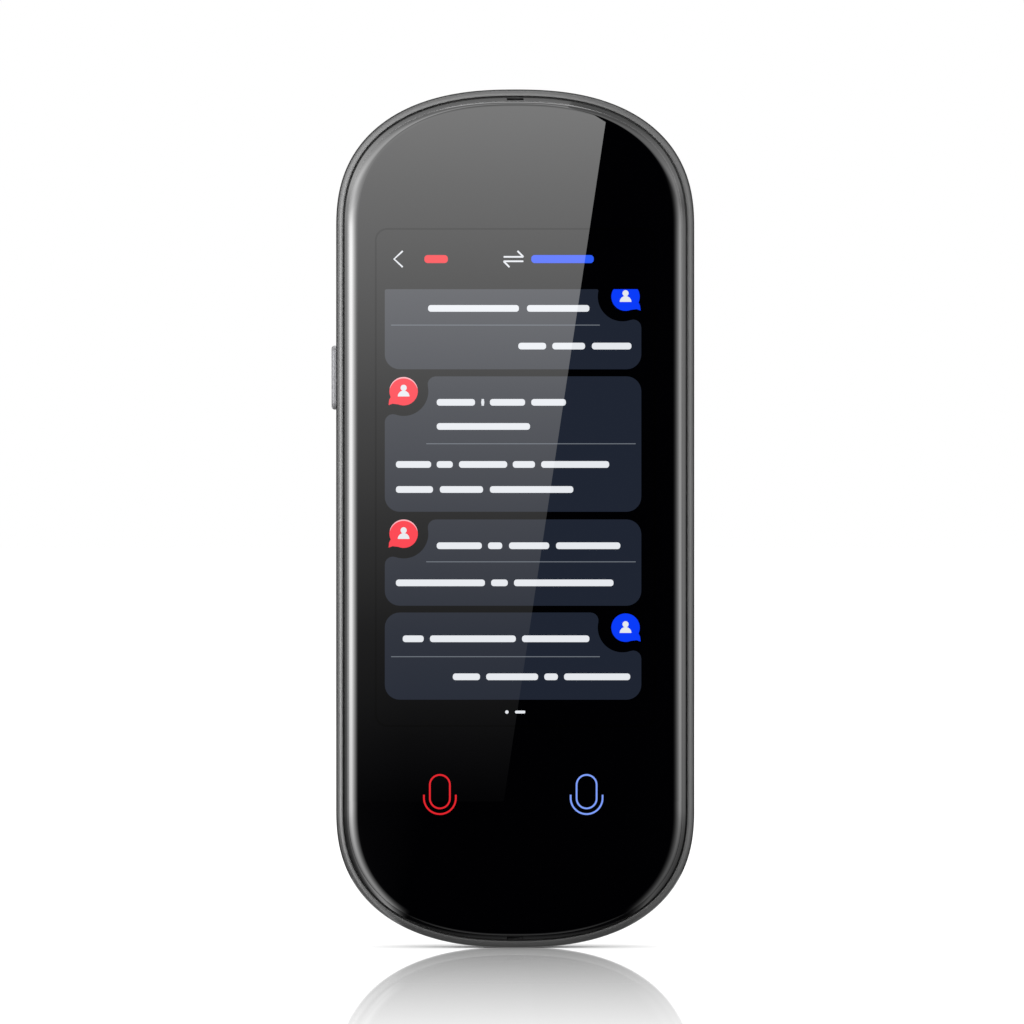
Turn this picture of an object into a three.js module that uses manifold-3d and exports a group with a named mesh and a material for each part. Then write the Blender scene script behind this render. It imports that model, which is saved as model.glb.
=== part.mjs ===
// Handheld translator: a pebble-shaped case with a screen on one side and a camera and speaker on the other.
// Millimetres. Seen from the screen side, +X is right and +Z is up; +Y points out of the back.
// The origin is the middle of the flat back, so the screen side lies at negative Y.
// "Depth" is the distance in front of the flat back, and "inset" the distance inside the case outline.
import * as THREE from 'three';
import { LoftGeometry } from 'three/addons/geometries/LoftGeometry.js';
import { mergeVertices } from 'three/addons/utils/BufferGeometryUtils.js';
import Module from 'manifold-3d';

const wasm = await Module();
wasm.setup();

// Outline and back
const caseWidth = 58;
const caseLength = 139;
const caseDepth = 14;
const capHeight = 22.4; // each end cap, from the straight sides to the tip
const capExponent = 2.4; // superellipse power of the end caps
const plateauSideInset = 10.8; // from the widest outline to the flat back, at the sides
const plateauEndInset = 8.7; // the same, at the two ends
const rollExponent = 2.1;
const shellWall = 1.5;
const shellRimLap = 0.9; // from the shell's rim to the frame's ledge
const shellRimHeight = 1; // straight wall between the rolled back and the rim

// Clearances
const slip = 0.15; // round a piece that drops into another
const seatGap = 0.1; // between pieces that are stacked and held
const filmGap = 0.05; // between bonded layers behind the glass
const runGap = 0.3; // in front of a moving piece at the end of its travel
const overrun = 1; // how far a cutter runs past a face

// Mid frame
const partingGap = 0.15; // thin line between the back shell and the frame
const frameBand = 1.1; // frame width seen from the front
const frameFrontDrop = 0.6; // behind the front of the glass
const frameRound = 0.85;
const frameLedgeWidth = 1.9;
const tongueWall = 0.75;
const tongueLap = 1.4; // how far the tongue reaches into the back shell

// Front bezel
const seamWidth = 0.25; // dark seam between frame and bezel
const bezelBand = 0.6; // bezel ring seen from the front
const bezelFrontDrop = 0.65; // behind the front of the glass
const bezelChamfer = 0.12;
const bezelLedgeThickness = 0.75;
const bezelLedgeWidth = 1.65;
const soundSlotLength = 2.7;
const soundSlotWidth = 0.35;
const soundPocketWidth = 3.2;
const soundPocketFloor = 0.3; // frame left under the pocket
const soundPocketMargin = 0.2;

// Cover glass and what is bonded behind it
const glassThickness = 1.05;
const glassSideGap = 0.08;
const gasketThickness = 0.1;
const glassCurveWidth = 1.55;
const glassCurveHeight = 0.7;
const touchThickness = 0.25;
const touchMargin = 0.4;
const displaySideInset = 6.3; // from the outline to the lit area
const displayTopDrop = 22.5; // from the upper tip to the lit area
const displayKeyGap = 2.4; // between the display and the talk key board
const displayBorder = 1.4;
const displayCorner = 1.2;
const panelThickness = 1;
const backlightThickness = 0.6;

// Talk keys under the glass
const keyIconSpacing = 23.8;
const keyIconRise = 24.3; // from the lower tip
const keyBoardMargin = 3.1;
const keyBoardHeight = 9;
const keyBoardThickness = 0.5;
const keyLightWidth = 6;
const keyLightHeight = 7.6;
const keyLightCorner = 2.4;

// Inner chassis
const chassisThickness = 1;
const chassisFilm = 0.15; // pad between display and chassis
const flexSlotMargin = 1; // at each end of the slot
const flexSlotWidth = 2;

// Boards
const boardThickness = 1;
const boardInset = 4.4;
const boardKeyGap = 0.7; // from the pressed power key to the main board
const boardEndMargin = 0.2; // main board above the camera module
const bottomBoardTopRise = 16.9; // from the lower tip
const bottomBoardLowRise = 5.5;
const bottomBoardSideGap = 0.3;
const processorSize = 12;
const processorThickness = 1.1;
const memoryWidth = 8;
const memoryLength = 10;
const memoryThickness = 0.9;
const shieldHeight = 1.7;
const shieldWall = 0.3;
const shieldLength = 17;
const shieldChipGap = 1.45;
const shieldSwitchGap = 0.9;
const shieldSpacing = 2.5;
const shieldEdgeMargin = 2.6;
const shieldSpeakerGap = 0.4; // below the speaker's frame
const shieldPlugGap = 2;
const plugEdgeGap = 2.9;

// Screws
const chassisScrewHeadRadius = 1.7;
const chassisScrewHeadHeight = 0.6;
const chassisScrewRadius = 0.65;
const chassisScrewLength = 4.6;
const chassisScrewTopX = 10;
const chassisScrewTopDrop = 6.9; // from the upper tip
const chassisScrewEdgeGap = 2.2; // from the head to the frame's ledge
const chassisScrewLowRise = 12; // from the lower tip
const screwHoleGap = 0.2;
const bossRadius = 1.9;
const bossRootShare = 0.5; // how deep in the shell's wall the bosses are rooted
const bossBoreSpare = 0.6; // bore left below the screw tip
const boardScrewHeadRadius = 1.3;
const boardScrewHeadHeight = 0.5;
const boardScrewRadius = 0.6;
const boardScrewReach = 1.7; // shank below the head
const boardScrewMargin = 0.4; // beside the side switch
const mainScrewRise = 4.5; // from the main board's lower edge
const bottomScrewInset = 3.8; // from the bottom board's side
const bottomScrewDrop = 4.4; // from the bottom board's upper edge

// Battery
const batteryLeftInset = 10.9; // from the widest outline
const batteryThickness = 5.2;
const batteryRound = 1.6;
const batterySideGap = 0.2;
const batteryEndGap = 2.2; // to the display cable's slot
const tapeMargin = 3.5;
const tapeThickness = 0.2;
const cellBoardHeight = 3.2;
const cellBoardThickness = 1.8;
const cellBoardMargin = 3;
const cellBoardEdgeGap = 2.55; // to the main board's lower edge
const leadRadius = 0.45;
const leadSpacing = 2;
const leadBendShare = 0.5; // of the lead's rise, straight out of each end
const plugOffset = 1.9; // beside the battery's middle
const plugWidth = 4.6;
const plugHeight = 3.4;
const plugThickness = 1.6;

// Flat flexible cables
const flexThickness = 0.15;
const displayFlexWidth = 12;
const displayFlexOverlap = 3.4;
const linkFlexWidth = 2;
const linkFlexOverlap = 3;

// Speaker
const speakerBelowCamera = 13.5;
const speakerHoleRadius = 0.85;
const speakerHolePitch = 2.58;
const speakerUpperRadius = 17; // arc through the upper row of holes
const speakerRowGap = 3.6;
const speakerUpperCount = 5;
const speakerLowerCount = 7;
const meshSideMargin = 0.2; // mesh past the outer holes
const meshEndMargin = 1.65;
const meshThickness = 0.2;
const meshRise = 0.5; // the rows curve up, so their mesh sits a little higher than the speaker
const gasketWall = 1.6;
const gasketSideSlack = 0.6; // between the mesh and the gasket
const gasketEndSlack = 0.9;
const speakerGasketThickness = 0.7;
const speakerFrameFloor = 0.8;
const speakerFrameWall = 0.8;
const diaphragmThickness = 0.3;
const diaphragmDome = 0.45;
const diaphragmDrop = 0.45; // from the frame's rim to the diaphragm
const diaphragmTravel = 0.25;
const magnetWidth = 11;
const magnetHeight = 6;
const magnetThickness = 0.75;
const contactRadius = 0.5;
const contactTipRadius = 0.3;
const contactTipShare = 0.22; // of the contact's length
const contactSpacing = 14;

// Camera
const cameraDrop = 14; // from the upper tip
const trimRadius = 4.25;
const trimInnerRadius = 3.2;
const trimLedgeWidth = 0.5;
const trimLedgeThickness = 0.35;
const trimSeatWidth = 0.6; // ring of shell that the trim sits on
const windowThickness = 0.5;
const windowDrop = 0.1;
const barrelRadius = 2.9;
const barrelBore = 2.2;
const barrelGap = 0.35; // behind the trim ring
const barrelLength = 3.4;
const barrelPocket = 1.4;
const lensDome = 0.5;
const lensEdge = 0.4;
const lensLift = 0.15; // from the floor of the barrel's pocket
const cameraBodySize = 8.6;

// Power key and its switch
const keyDrop = 46.6; // from the upper tip
const keyLength = 10.4;
const keyWidth = 2.6;
const keyProud = 0.85; // past the widest outline
const keyChamfer = 0.4;
const keyCornerShare = 0.5; // of the key's width: round ends
const keyFlange = 0.5;
const keyFlangeThickness = 0.6;
const keyTravel = 0.3;
const switchGap = 0.1;
const switchLength = 4.6;
const switchWidth = 3.5;
const switchHeight = 2.2;
const plungerRadius = 0.6;
const plungerProud = 0.55;
const plungerBuried = 0.7;

// Charging port
const portWidth = 8.94;
const portHeight = 3.16;
const portWall = 0.3;
const portLength = 7.3;
const portRecess = 0.6; // from the lower tip to the mouth
const portClearance = 0.2;
const tongueTipDrop = 0.9;
const portTongueWidth = 6.7;
const portTongueThickness = 0.7;

// Microphones
const micWidth = 3.8;
const micLength = 2.7;
const micThickness = 0.9;
const bootWidth = 4.2;
const bootLength = 1.4;
const bootMouth = 0.6;

// Antenna film inside the back
const antennaSideMargin = 4.2; // inside the edge of the flat back
const antennaHeight = 8;
const antennaThickness = 0.15;
const antennaSpeakerGap = 5.2;
const antennaCorner = 1;

// Facet counts
const quarterSteps = 10;
const rollSteps = 7;
const curveSteps = 5;
const cornerSteps = 4;
const roundSteps = 20;
const bossSteps = 12;
const holeSteps = 10;
const smallSteps = 8;
const leadSteps = 6;
const sliceSteps = 12;

// Depths, from the glass back through the stack
const halfWidth = caseWidth / 2;
const halfLength = caseLength / 2;
const capBaseZ = halfLength - capHeight;
const glassBackDepth = caseDepth - glassThickness;
const bezelLedgeDepth = glassBackDepth - gasketThickness - 2 * filmGap;
const bezelBackDepth = bezelLedgeDepth - bezelLedgeThickness;
const bezelFrontDepth = caseDepth - bezelFrontDrop;
const frameFrontDepth = caseDepth - frameFrontDrop;
const frameLedgeDepth = bezelBackDepth - seatGap;
const shellRimDepth = frameLedgeDepth - shellRimLap;
const rollDepth = shellRimDepth - shellRimHeight;
const tongueDepth = shellRimDepth - tongueLap;
const touchBackDepth = glassBackDepth - filmGap - touchThickness;
const panelBackDepth = touchBackDepth - filmGap - panelThickness;
const backlightBackDepth = panelBackDepth - filmGap - backlightThickness;
const chassisFrontDepth = backlightBackDepth - chassisFilm;
const chassisBackDepth = chassisFrontDepth - chassisThickness;
const frameStepDepth = chassisFrontDepth + seatGap;
const boardFrontDepth = chassisBackDepth - seatGap;
const boardBackDepth = boardFrontDepth - boardThickness;
const boardPartDepth = boardBackDepth - filmGap; // front of what is mounted on the boards
const bossFrontDepth = chassisBackDepth - seatGap;
const screwHeadBackDepth = chassisFrontDepth + seatGap;
const portDepth = boardPartDepth - filmGap - portHeight / 2;
const keyDepth = boardPartDepth - switchHeight / 2;

// Insets, from the outline inwards
const antennaWidth = 2 * (halfWidth - plateauSideInset - antennaSideMargin);
const tongueOuterInset = shellWall + slip;
const tongueInnerInset = tongueOuterInset + tongueWall;
const chassisInset = tongueInnerInset + slip;
const frameLedgeInset = frameBand + frameLedgeWidth;
const bezelOuterInset = frameBand + seamWidth;
const bezelInnerInset = bezelOuterInset + bezelBand;
const bezelLedgeInset = bezelInnerInset + bezelLedgeWidth;
const glassInset = bezelInnerInset + glassSideGap;

// Speaker sizes, from the sound holes outwards
const speakerLowerRadius = speakerUpperRadius + speakerRowGap;
const meshWidth = speakerHolePitch * (speakerLowerCount - 1) + 2 * (speakerHoleRadius + meshSideMargin);
const meshHeight = speakerRowGap + 2 * (speakerHoleRadius + meshEndMargin);
const gasketWidth = meshWidth + 2 * (gasketWall + gasketSideSlack);
const gasketHeight = meshHeight + 2 * (gasketWall + gasketEndSlack);
const diaphragmDepth = diaphragmDrop + diaphragmThickness + diaphragmDome;
const meshBackDepth = shellWall + seatGap;
const speakerFrameBack = meshBackDepth + speakerGasketThickness + seatGap;
const speakerPocketDepth = diaphragmDepth + diaphragmTravel + runGap + magnetThickness + seatGap;
const speakerFrameFront = speakerFrameBack + speakerPocketDepth + speakerFrameFloor;

// Places along the length, from the upper tip down
const cameraZ = halfLength - cameraDrop;
const speakerZ = cameraZ - speakerBelowCamera;
const keyZ = halfLength - keyDrop;
const mainBoardTopZ = cameraZ + cameraBodySize / 2 + boardEndMargin;
const shieldTopZ = speakerZ - gasketHeight / 2 - shieldSpeakerGap;
const shieldZ = shieldTopZ - shieldLength / 2;
const plugTopZ = shieldTopZ - shieldLength - shieldPlugGap;
const plugLowZ = plugTopZ - plugHeight;
const mainBoardLowZ = plugLowZ - plugEdgeGap;
const cellBoardTopZ = mainBoardLowZ - cellBoardEdgeGap;
const batteryTopZ = cellBoardTopZ - cellBoardHeight - slip;
const antennaZ = speakerZ - gasketHeight / 2 - antennaSpeakerGap - antennaHeight / 2;

// Places along the length, from the lower tip up
const bottomBoardLowZ = bottomBoardLowRise - halfLength;
const bottomBoardTopZ = bottomBoardTopRise - halfLength;
const flexSlotZ = bottomBoardTopZ + flexSlotWidth / 2 + 2 * slip + seatGap;
const batteryLowZ = flexSlotZ + flexSlotWidth / 2 + batteryEndGap;
const keyIconZ = keyIconRise - halfLength;
const activeTopZ = halfLength - displayTopDrop;
const displayLowZ = keyIconZ + keyBoardHeight / 2 + displayKeyGap;
const displayTopZ = activeTopZ + displayBorder;

// Places across the width, from the lower screws inwards
const chassisScrewTopZ = halfLength - chassisScrewTopDrop;
const chassisScrewLowZ = chassisScrewLowRise - halfLength;
const chassisScrewHeadX = halfWidthAt(chassisScrewLowZ, frameLedgeInset) - chassisScrewEdgeGap;
const chassisScrewLowX = chassisScrewHeadX - chassisScrewHeadRadius;
const bottomBoardHalfWidth = chassisScrewLowX - bossRadius - bottomBoardSideGap;
const bottomScrewX = bottomScrewInset - bottomBoardHalfWidth;
const bottomScrewZ = bottomBoardTopZ - bottomScrewDrop;
const linkFlexX = bottomBoardHalfWidth - batterySideGap - linkFlexWidth / 2;
const batteryRightX = linkFlexX - linkFlexWidth / 2 - batterySideGap;
const batteryLeftX = batteryLeftInset - halfWidth;
const batteryX = (batteryLeftX + batteryRightX) / 2;
const plugX = batteryX - plugOffset;

// Places across the width, from the power key inwards
const keyFlangeBackDepth = keyDepth - keyWidth / 2 - keyFlange;
const keyFlangeX = innerInsetAt(keyFlangeBackDepth, plateauSideInset) + slip - halfWidth;
const keyFlangeEndX = keyFlangeX + keyFlangeThickness;
const mainBoardHalfWidth = -keyFlangeEndX - keyTravel - boardKeyGap;
const plungerX = keyFlangeEndX + switchGap;
const switchX = plungerX + plungerProud;
const switchEndX = switchX + switchWidth;
const processorShieldWidth = 2 * shieldWall + 3 * shieldChipGap + processorSize + memoryWidth;
const processorShieldLeftX = switchEndX + shieldSwitchGap;
const processorShieldX = processorShieldLeftX + processorShieldWidth / 2;
const processorX = processorShieldLeftX + shieldWall + shieldChipGap + processorSize / 2;
const memoryX = processorX + processorSize / 2 + shieldChipGap + memoryWidth / 2;
const radioShieldLeftX = processorShieldLeftX + processorShieldWidth + shieldSpacing;
const radioShieldRightX = halfWidth - boardInset - shieldEdgeMargin;
const radioShieldWidth = radioShieldRightX - radioShieldLeftX;
const radioShieldX = (radioShieldLeftX + radioShieldRightX) / 2;
const mainScrewX = -switchEndX - boardScrewMargin - boardScrewHeadRadius;
const mainScrewZ = mainBoardLowZ + mainScrewRise;

// Camera depths, from the back inwards
const trimLedgeDepth = windowDrop + windowThickness + filmGap;
const trimThickness = trimLedgeDepth + trimLedgeThickness;
const barrelTopDepth = trimThickness + barrelGap;

function finish(color, roughness, metalness) {
  return new THREE.MeshStandardMaterial({ color, roughness, metalness });
}

const materials = {
  casePaint: finish(0x5c5c5e, 0.38, 0.7),
  frameMetal: finish(0x6a6a6c, 0.35, 0.8),
  glossBlack: finish(0x0b0b0d, 0.15, 0),
  glass: finish(0x08080a, 0.05, 0),
  lensGlass: finish(0x1b1a3a, 0.05, 0.2),
  blackPlastic: finish(0x17171a, 0.6, 0),
  rubber: finish(0x121214, 0.85, 0),
  foam: finish(0x1d1d1f, 0.95, 0),
  board: finish(0x16402f, 0.6, 0),
  chip: finish(0x1c1c1f, 0.5, 0),
  steel: finish(0xa8aaad, 0.35, 0.9),
  alloy: finish(0x8d9094, 0.45, 0.8),
  cell: finish(0xb9bbbe, 0.4, 0.6),
  amberFilm: finish(0xa8641e, 0.5, 0),
  gold: finish(0xc9a24a, 0.35, 0.8),
  redLight: finish(0xc8202a, 0.4, 0),
  blueLight: finish(0x3a6fe0, 0.4, 0),
  redWire: finish(0xb02020, 0.6, 0),
  blackWire: finish(0x141414, 0.6, 0),
  whitePanel: finish(0xd8dadd, 0.5, 0),
};

const translator = new THREE.Group();

function addPiece(name, geometry, material, x = 0, depth = 0, z = 0) {
  const mesh = new THREE.Mesh(geometry, material);
  mesh.name = name;
  mesh.position.set(x, -depth, z);
  translator.add(mesh);
  return mesh;
}

// Half width of the outline, pulled in by an inset, at a height
function halfWidthAt(z, inset) {
  const rise = Math.max(0, Math.abs(z) - capBaseZ) / (capHeight - inset);
  const share = 1 - Math.min(1, rise) ** capExponent;
  return (halfWidth - inset) * share ** (1 / capExponent);
}

// The outline as one ring of points: straight sides and superellipse caps
function outline(sideInset, endInset, depth) {
  const ring = [];
  const across = halfWidth - sideInset;
  const up = capHeight - endInset;
  for (let quarter = 0; quarter < 4; quarter += 1) {
    for (let step = 0; step <= quarterSteps; step += 1) {
      if (quarter % 2 === 1 && step === 0) continue; // a cap's two quarters share the tip
      const turn = ((quarter + step / quarterSteps) * Math.PI) / 2;
      const right = Math.cos(turn);
      const high = Math.sin(turn);
      const side = quarter < 2 ? 1 : -1;
      const x = Math.sign(right) * across * Math.abs(right) ** (2 / capExponent);
      const z = side * (capBaseZ + up * Math.abs(high) ** (2 / capExponent));
      ring.push(new THREE.Vector3(x, -depth, z));
    }
  }
  return ring;
}

// A rounded rectangle as a ring of [across, up] pairs; a side with no straight length adds no double point
function roundedRing(width, height, radius) {
  const ring = [];
  for (let corner = 0; corner < 4; corner += 1) {
    const right = corner === 0 || corner === 3 ? 1 : -1;
    const up = corner < 2 ? 1 : -1;
    const sideBefore = corner % 2 === 0 ? height : width;
    const firstStep = sideBefore - 2 * radius > seatGap ? 0 : 1;
    for (let step = firstStep; step <= cornerSteps; step += 1) {
      const turn = ((corner + step / cornerSteps) * Math.PI) / 2;
      const across = right * (width / 2 - radius) + radius * Math.cos(turn);
      const rise = up * (height / 2 - radius) + radius * Math.sin(turn);
      ring.push([across, rise]);
    }
  }
  return ring;
}

function ringNormal(ring) {
  const normal = new THREE.Vector3();
  ring.forEach((point, index) => {
    const next = ring[(index + 1) % ring.length];
    normal.add(new THREE.Vector3().crossVectors(point, next));
  });
  return normal;
}

function ringCentre(ring) {
  const sum = new THREE.Vector3();
  ring.forEach((point) => sum.add(point));
  return sum.divideScalar(ring.length);
}

// Skin through rings that do not meet again, capped at both ends
function loftSolid(rings) {
  const last = rings[rings.length - 1];
  const along = ringCentre(last).sub(ringCentre(rings[0]));
  const backward = ringNormal(rings[0]).dot(along) < 0;
  const ordered = backward ? rings.map((ring) => ring.slice().reverse()) : rings;
  return new LoftGeometry(ordered, { capStart: true, capEnd: true });
}

function signedVolume(geometry) {
  const places = geometry.getAttribute('position');
  const index = geometry.getIndex();
  const corners = [new THREE.Vector3(), new THREE.Vector3(), new THREE.Vector3()];
  let volume = 0;
  for (let first = 0; first < index.count; first += 3) {
    corners.forEach((corner, offset) => corner.fromBufferAttribute(places, index.getX(first + offset)));
    volume += corners[0].dot(corners[1].cross(corners[2]));
  }
  return volume;
}

// Skin through rings that close on themselves: a frame whose section is a loop of [inset, depth] pairs
function frameSolid(section) {
  const rings = section.map(([inset, depth]) => outline(inset, inset, depth));
  rings.push(rings[0].map((point) => point.clone()));
  const geometry = new LoftGeometry(rings);
  if (signedVolume(geometry) > 0) return geometry;
  return new LoftGeometry(rings.map((ring) => ring.slice().reverse()));
}

function toSolid(geometry) {
  const bare = new THREE.BufferGeometry();
  bare.setAttribute('position', geometry.getAttribute('position'));
  if (geometry.getIndex()) bare.setIndex(geometry.getIndex());
  const merged = mergeVertices(bare);
  const vertProperties = new Float32Array(merged.getAttribute('position').array);
  const triVerts = new Uint32Array(merged.getIndex().array);
  return new wasm.Manifold(new wasm.Mesh({ numProp: 3, vertProperties, triVerts }));
}

function toGeometry(solid) {
  const mesh = solid.getMesh();
  const geometry = new THREE.BufferGeometry();
  geometry.setAttribute('position', new THREE.BufferAttribute(new Float32Array(mesh.vertProperties), 3));
  geometry.setIndex(new THREE.BufferAttribute(new Uint32Array(mesh.triVerts), 1));
  geometry.computeVertexNormals();
  return geometry;
}

function cut(geometry, ...cutters) {
  return toGeometry(cutters.reduce((solid, cutter) => solid.subtract(toSolid(cutter)), toSolid(geometry)));
}

function join(geometry, ...others) {
  return toGeometry(others.reduce((solid, other) => solid.add(toSolid(other)), toSolid(geometry)));
}

function common(geometry, other) {
  return toGeometry(toSolid(geometry).intersect(toSolid(other)));
}

// A box between two depths, centred on x and z
function block(width, height, backDepth, frontDepth, x = 0, z = 0) {
  const geometry = new THREE.BoxGeometry(width, frontDepth - backDepth, height);
  return geometry.translate(x, -(backDepth + frontDepth) / 2, z);
}

// A round peg along the depth
function peg(radius, backDepth, frontDepth, x, z, steps) {
  const geometry = new THREE.CylinderGeometry(radius, radius, frontDepth - backDepth, steps);
  return geometry.translate(x, -(backDepth + frontDepth) / 2, z);
}

// A turned piece from [radius, height] pairs
function turned(profile, steps) {
  const points = profile.map(([radius, height]) => new THREE.Vector2(radius, height));
  return new THREE.LatheGeometry(points, steps);
}

// A rounded block between two depths
function roundedBlock(width, height, radius, backDepth, frontDepth, x = 0, z = 0) {
  const ring = roundedRing(width, height, radius);
  const ringAt = (depth) => ring.map(([across, rise]) => new THREE.Vector3(x + across, -depth, z + rise));
  return loftSolid([ringAt(backDepth), ringAt(frontDepth)]);
}

// A flat plate of the given shape, from a back depth towards the front
function plate(shape, thickness, backDepth) {
  const options = { depth: thickness, bevelEnabled: false, curveSegments: holeSteps / 2 };
  const geometry = new THREE.ExtrudeGeometry(shape, options);
  geometry.rotateX(Math.PI / 2);
  return geometry.translate(0, -backDepth, 0);
}

function holePath(x, z, radius) {
  const path = new THREE.Path();
  path.absarc(x, z, radius, 0, Math.PI * 2, true);
  return path;
}

function slotPath(x, z, length, width) {
  const corners = [[-1, -1], [-1, 1], [1, 1], [1, -1]];
  const points = corners.map(([right, up]) => {
    return new THREE.Vector2(x + (right * length) / 2, z + (up * width) / 2);
  });
  return new THREE.Path(points);
}

function outlineShape(inset) {
  return new THREE.Shape(outline(inset, inset, 0).map((point) => new THREE.Vector2(point.x, point.z)));
}

// The part of the outline between two heights, no wider than a limit
function sliceShape(inset, lowZ, topZ, widest) {
  const right = [];
  for (let step = 0; step <= sliceSteps; step += 1) {
    const z = lowZ + ((topZ - lowZ) * step) / sliceSteps;
    right.push(new THREE.Vector2(Math.min(widest, halfWidthAt(z, inset)), z));
  }
  const left = right.map((point) => new THREE.Vector2(-point.x, point.y)).reverse();
  return new THREE.Shape([...right, ...left]);
}

// A thin bent strip of even thickness: points are [depth, z] along its middle
function ribbon(points, thickness, width, x) {
  const spine = points.map(([depth, z]) => new THREE.Vector2(-depth, z));
  const offset = (side) =>
    spine.map((point, index) => {
      const before = spine[Math.max(0, index - 1)];
      const after = spine[Math.min(spine.length - 1, index + 1)];
      const intoPoint = point.clone().sub(before).normalize();
      const outOfPoint = after.clone().sub(point).normalize();
      const along = intoPoint.add(outOfPoint).normalize();
      const across = new THREE.Vector2(-along.y, along.x);
      return point.clone().addScaledVector(across, (side * thickness) / 2);
    });
  const edge = [...offset(1), ...offset(-1).reverse()];
  const ringAt = (place) => edge.map((point) => new THREE.Vector3(place, point.x, point.y));
  return loftSolid([ringAt(x - width / 2), ringAt(x + width / 2)]);
}

// How far in from the outline the rolled back lies, as a share, for a share of its depth
function rollShare(depthShare) {
  return 1 - (1 - (1 - depthShare) ** rollExponent) ** (1 / rollExponent);
}

// Rings of the rolled back, thinned by a wall, from the flat to a rim depth
function rolledRings(wall, rimDepth) {
  const rings = [];
  for (let step = 0; step <= rollSteps; step += 1) {
    const turn = (step / rollSteps) * (Math.PI / 2);
    const insetShare = 1 - Math.sin(turn) ** (2 / rollExponent);
    const depthShare = 1 - Math.cos(turn) ** (2 / rollExponent);
    const sideInset = wall + (plateauSideInset - wall) * insetShare;
    const endInset = wall + (plateauEndInset - wall) * insetShare;
    rings.push(outline(sideInset, endInset, wall + (rollDepth - wall) * depthShare));
  }
  rings.push(outline(wall, wall, rimDepth));
  return rings;
}

// Inset of the shell's inner wall at a depth, where the flat back has the given inset
function innerInsetAt(depth, plateauInset) {
  const depthShare = (depth - shellWall) / (rollDepth - shellWall);
  return shellWall + (plateauInset - shellWall) * rollShare(Math.min(1, depthShare));
}

const chassisScrewPlaces = [
  [-chassisScrewTopX, chassisScrewTopZ],
  [chassisScrewTopX, chassisScrewTopZ],
  [-chassisScrewLowX, chassisScrewLowZ],
  [chassisScrewLowX, chassisScrewLowZ],
];
const boardScrewPlaces = [
  [-mainScrewX, mainScrewZ],
  [mainScrewX, mainScrewZ],
  [bottomScrewX, bottomScrewZ],
];

// Centres of the speaker holes: two concentric rows that curve up at their ends
function speakerHolePlaces() {
  const places = [];
  const rows = [
    [speakerUpperCount, speakerUpperRadius],
    [speakerLowerCount, speakerLowerRadius],
  ];
  const arcCentreZ = speakerZ + speakerRowGap / 2 + speakerUpperRadius;
  rows.forEach(([count, radius]) => {
    for (let hole = 0; hole < count; hole += 1) {
      const swing = ((hole - (count - 1) / 2) * speakerHolePitch) / radius;
      places.push([radius * Math.sin(swing), arcCentreZ - radius * Math.cos(swing)]);
    }
  });
  return places;
}

// A stadium-shaped bar along the length of the case
function portBar(width, height, lowZ, topZ) {
  const ringAt = (z) =>
    roundedRing(width, height, height / 2).map(([across, rise]) => {
      return new THREE.Vector3(across, rise - portDepth, z);
    });
  return loftSolid([ringAt(lowZ), ringAt(topZ)]);
}

// A rounded bar across the case at the power key
function keyBar(stations) {
  const rings = stations.map(([x, length, width]) => {
    const corner = width * keyCornerShare;
    return roundedRing(width, length, corner).map(([across, rise]) => {
      return new THREE.Vector3(x, across - keyDepth, keyZ + rise);
    });
  });
  return loftSolid(rings);
}

function addRearShell() {
  const outer = loftSolid(rolledRings(0, shellRimDepth));
  const inner = loftSolid(rolledRings(shellWall, shellRimDepth + overrun));
  const bossRoot = loftSolid(rolledRings(shellWall * bossRootShare, shellRimDepth));
  const bosses = chassisScrewPlaces.map(([x, z]) => {
    return common(bossRoot, peg(bossRadius, 0, bossFrontDepth, x, z, bossSteps));
  });
  const boreBackDepth = screwHeadBackDepth - chassisScrewLength - bossBoreSpare;
  const bores = chassisScrewPlaces.map(([x, z]) => {
    return peg(chassisScrewRadius + screwHoleGap, boreBackDepth, bossFrontDepth + overrun, x, z, holeSteps);
  });
  const trimHole = trimRadius + slip;
  const trimSeatDepth = trimThickness + seatGap;
  const throughDepth = shellWall + overrun;
  const cameraHoles = [
    peg(trimHole, -overrun, trimSeatDepth, 0, cameraZ, roundSteps),
    peg(trimHole - trimSeatWidth, -overrun, throughDepth, 0, cameraZ, roundSteps),
  ];
  const soundHoles = speakerHolePlaces().map(([x, z]) => {
    return peg(speakerHoleRadius, -overrun, throughDepth, x, z, holeSteps);
  });
  const portHoleHeight = portHeight + 2 * portClearance;
  const portHoleBack = portDepth - portHoleHeight / 2;
  const portHoleTopZ = innerInsetAt(portHoleBack, plateauEndInset) + overrun - halfLength;
  const portHole = portBar(
    portWidth + 2 * portClearance, portHoleHeight, -halfLength - overrun, portHoleTopZ,
  );
  const keyHoleLength = keyLength + 2 * slip;
  const keyHoleWidth = keyWidth + 2 * slip;
  const keyHoleEndInset = innerInsetAt(keyDepth - keyHoleWidth / 2, plateauSideInset);
  const keyHole = keyBar([
    [-halfWidth - overrun, keyHoleLength, keyHoleWidth],
    [keyHoleEndInset + overrun - halfWidth, keyHoleLength, keyHoleWidth],
  ]);
  const shell = join(cut(outer, inner), ...bosses);
  const opened = cut(shell, ...bores, ...cameraHoles, ...soundHoles, portHole, keyHole);
  addPiece('rear_shell', opened, materials.casePaint);
}

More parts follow.
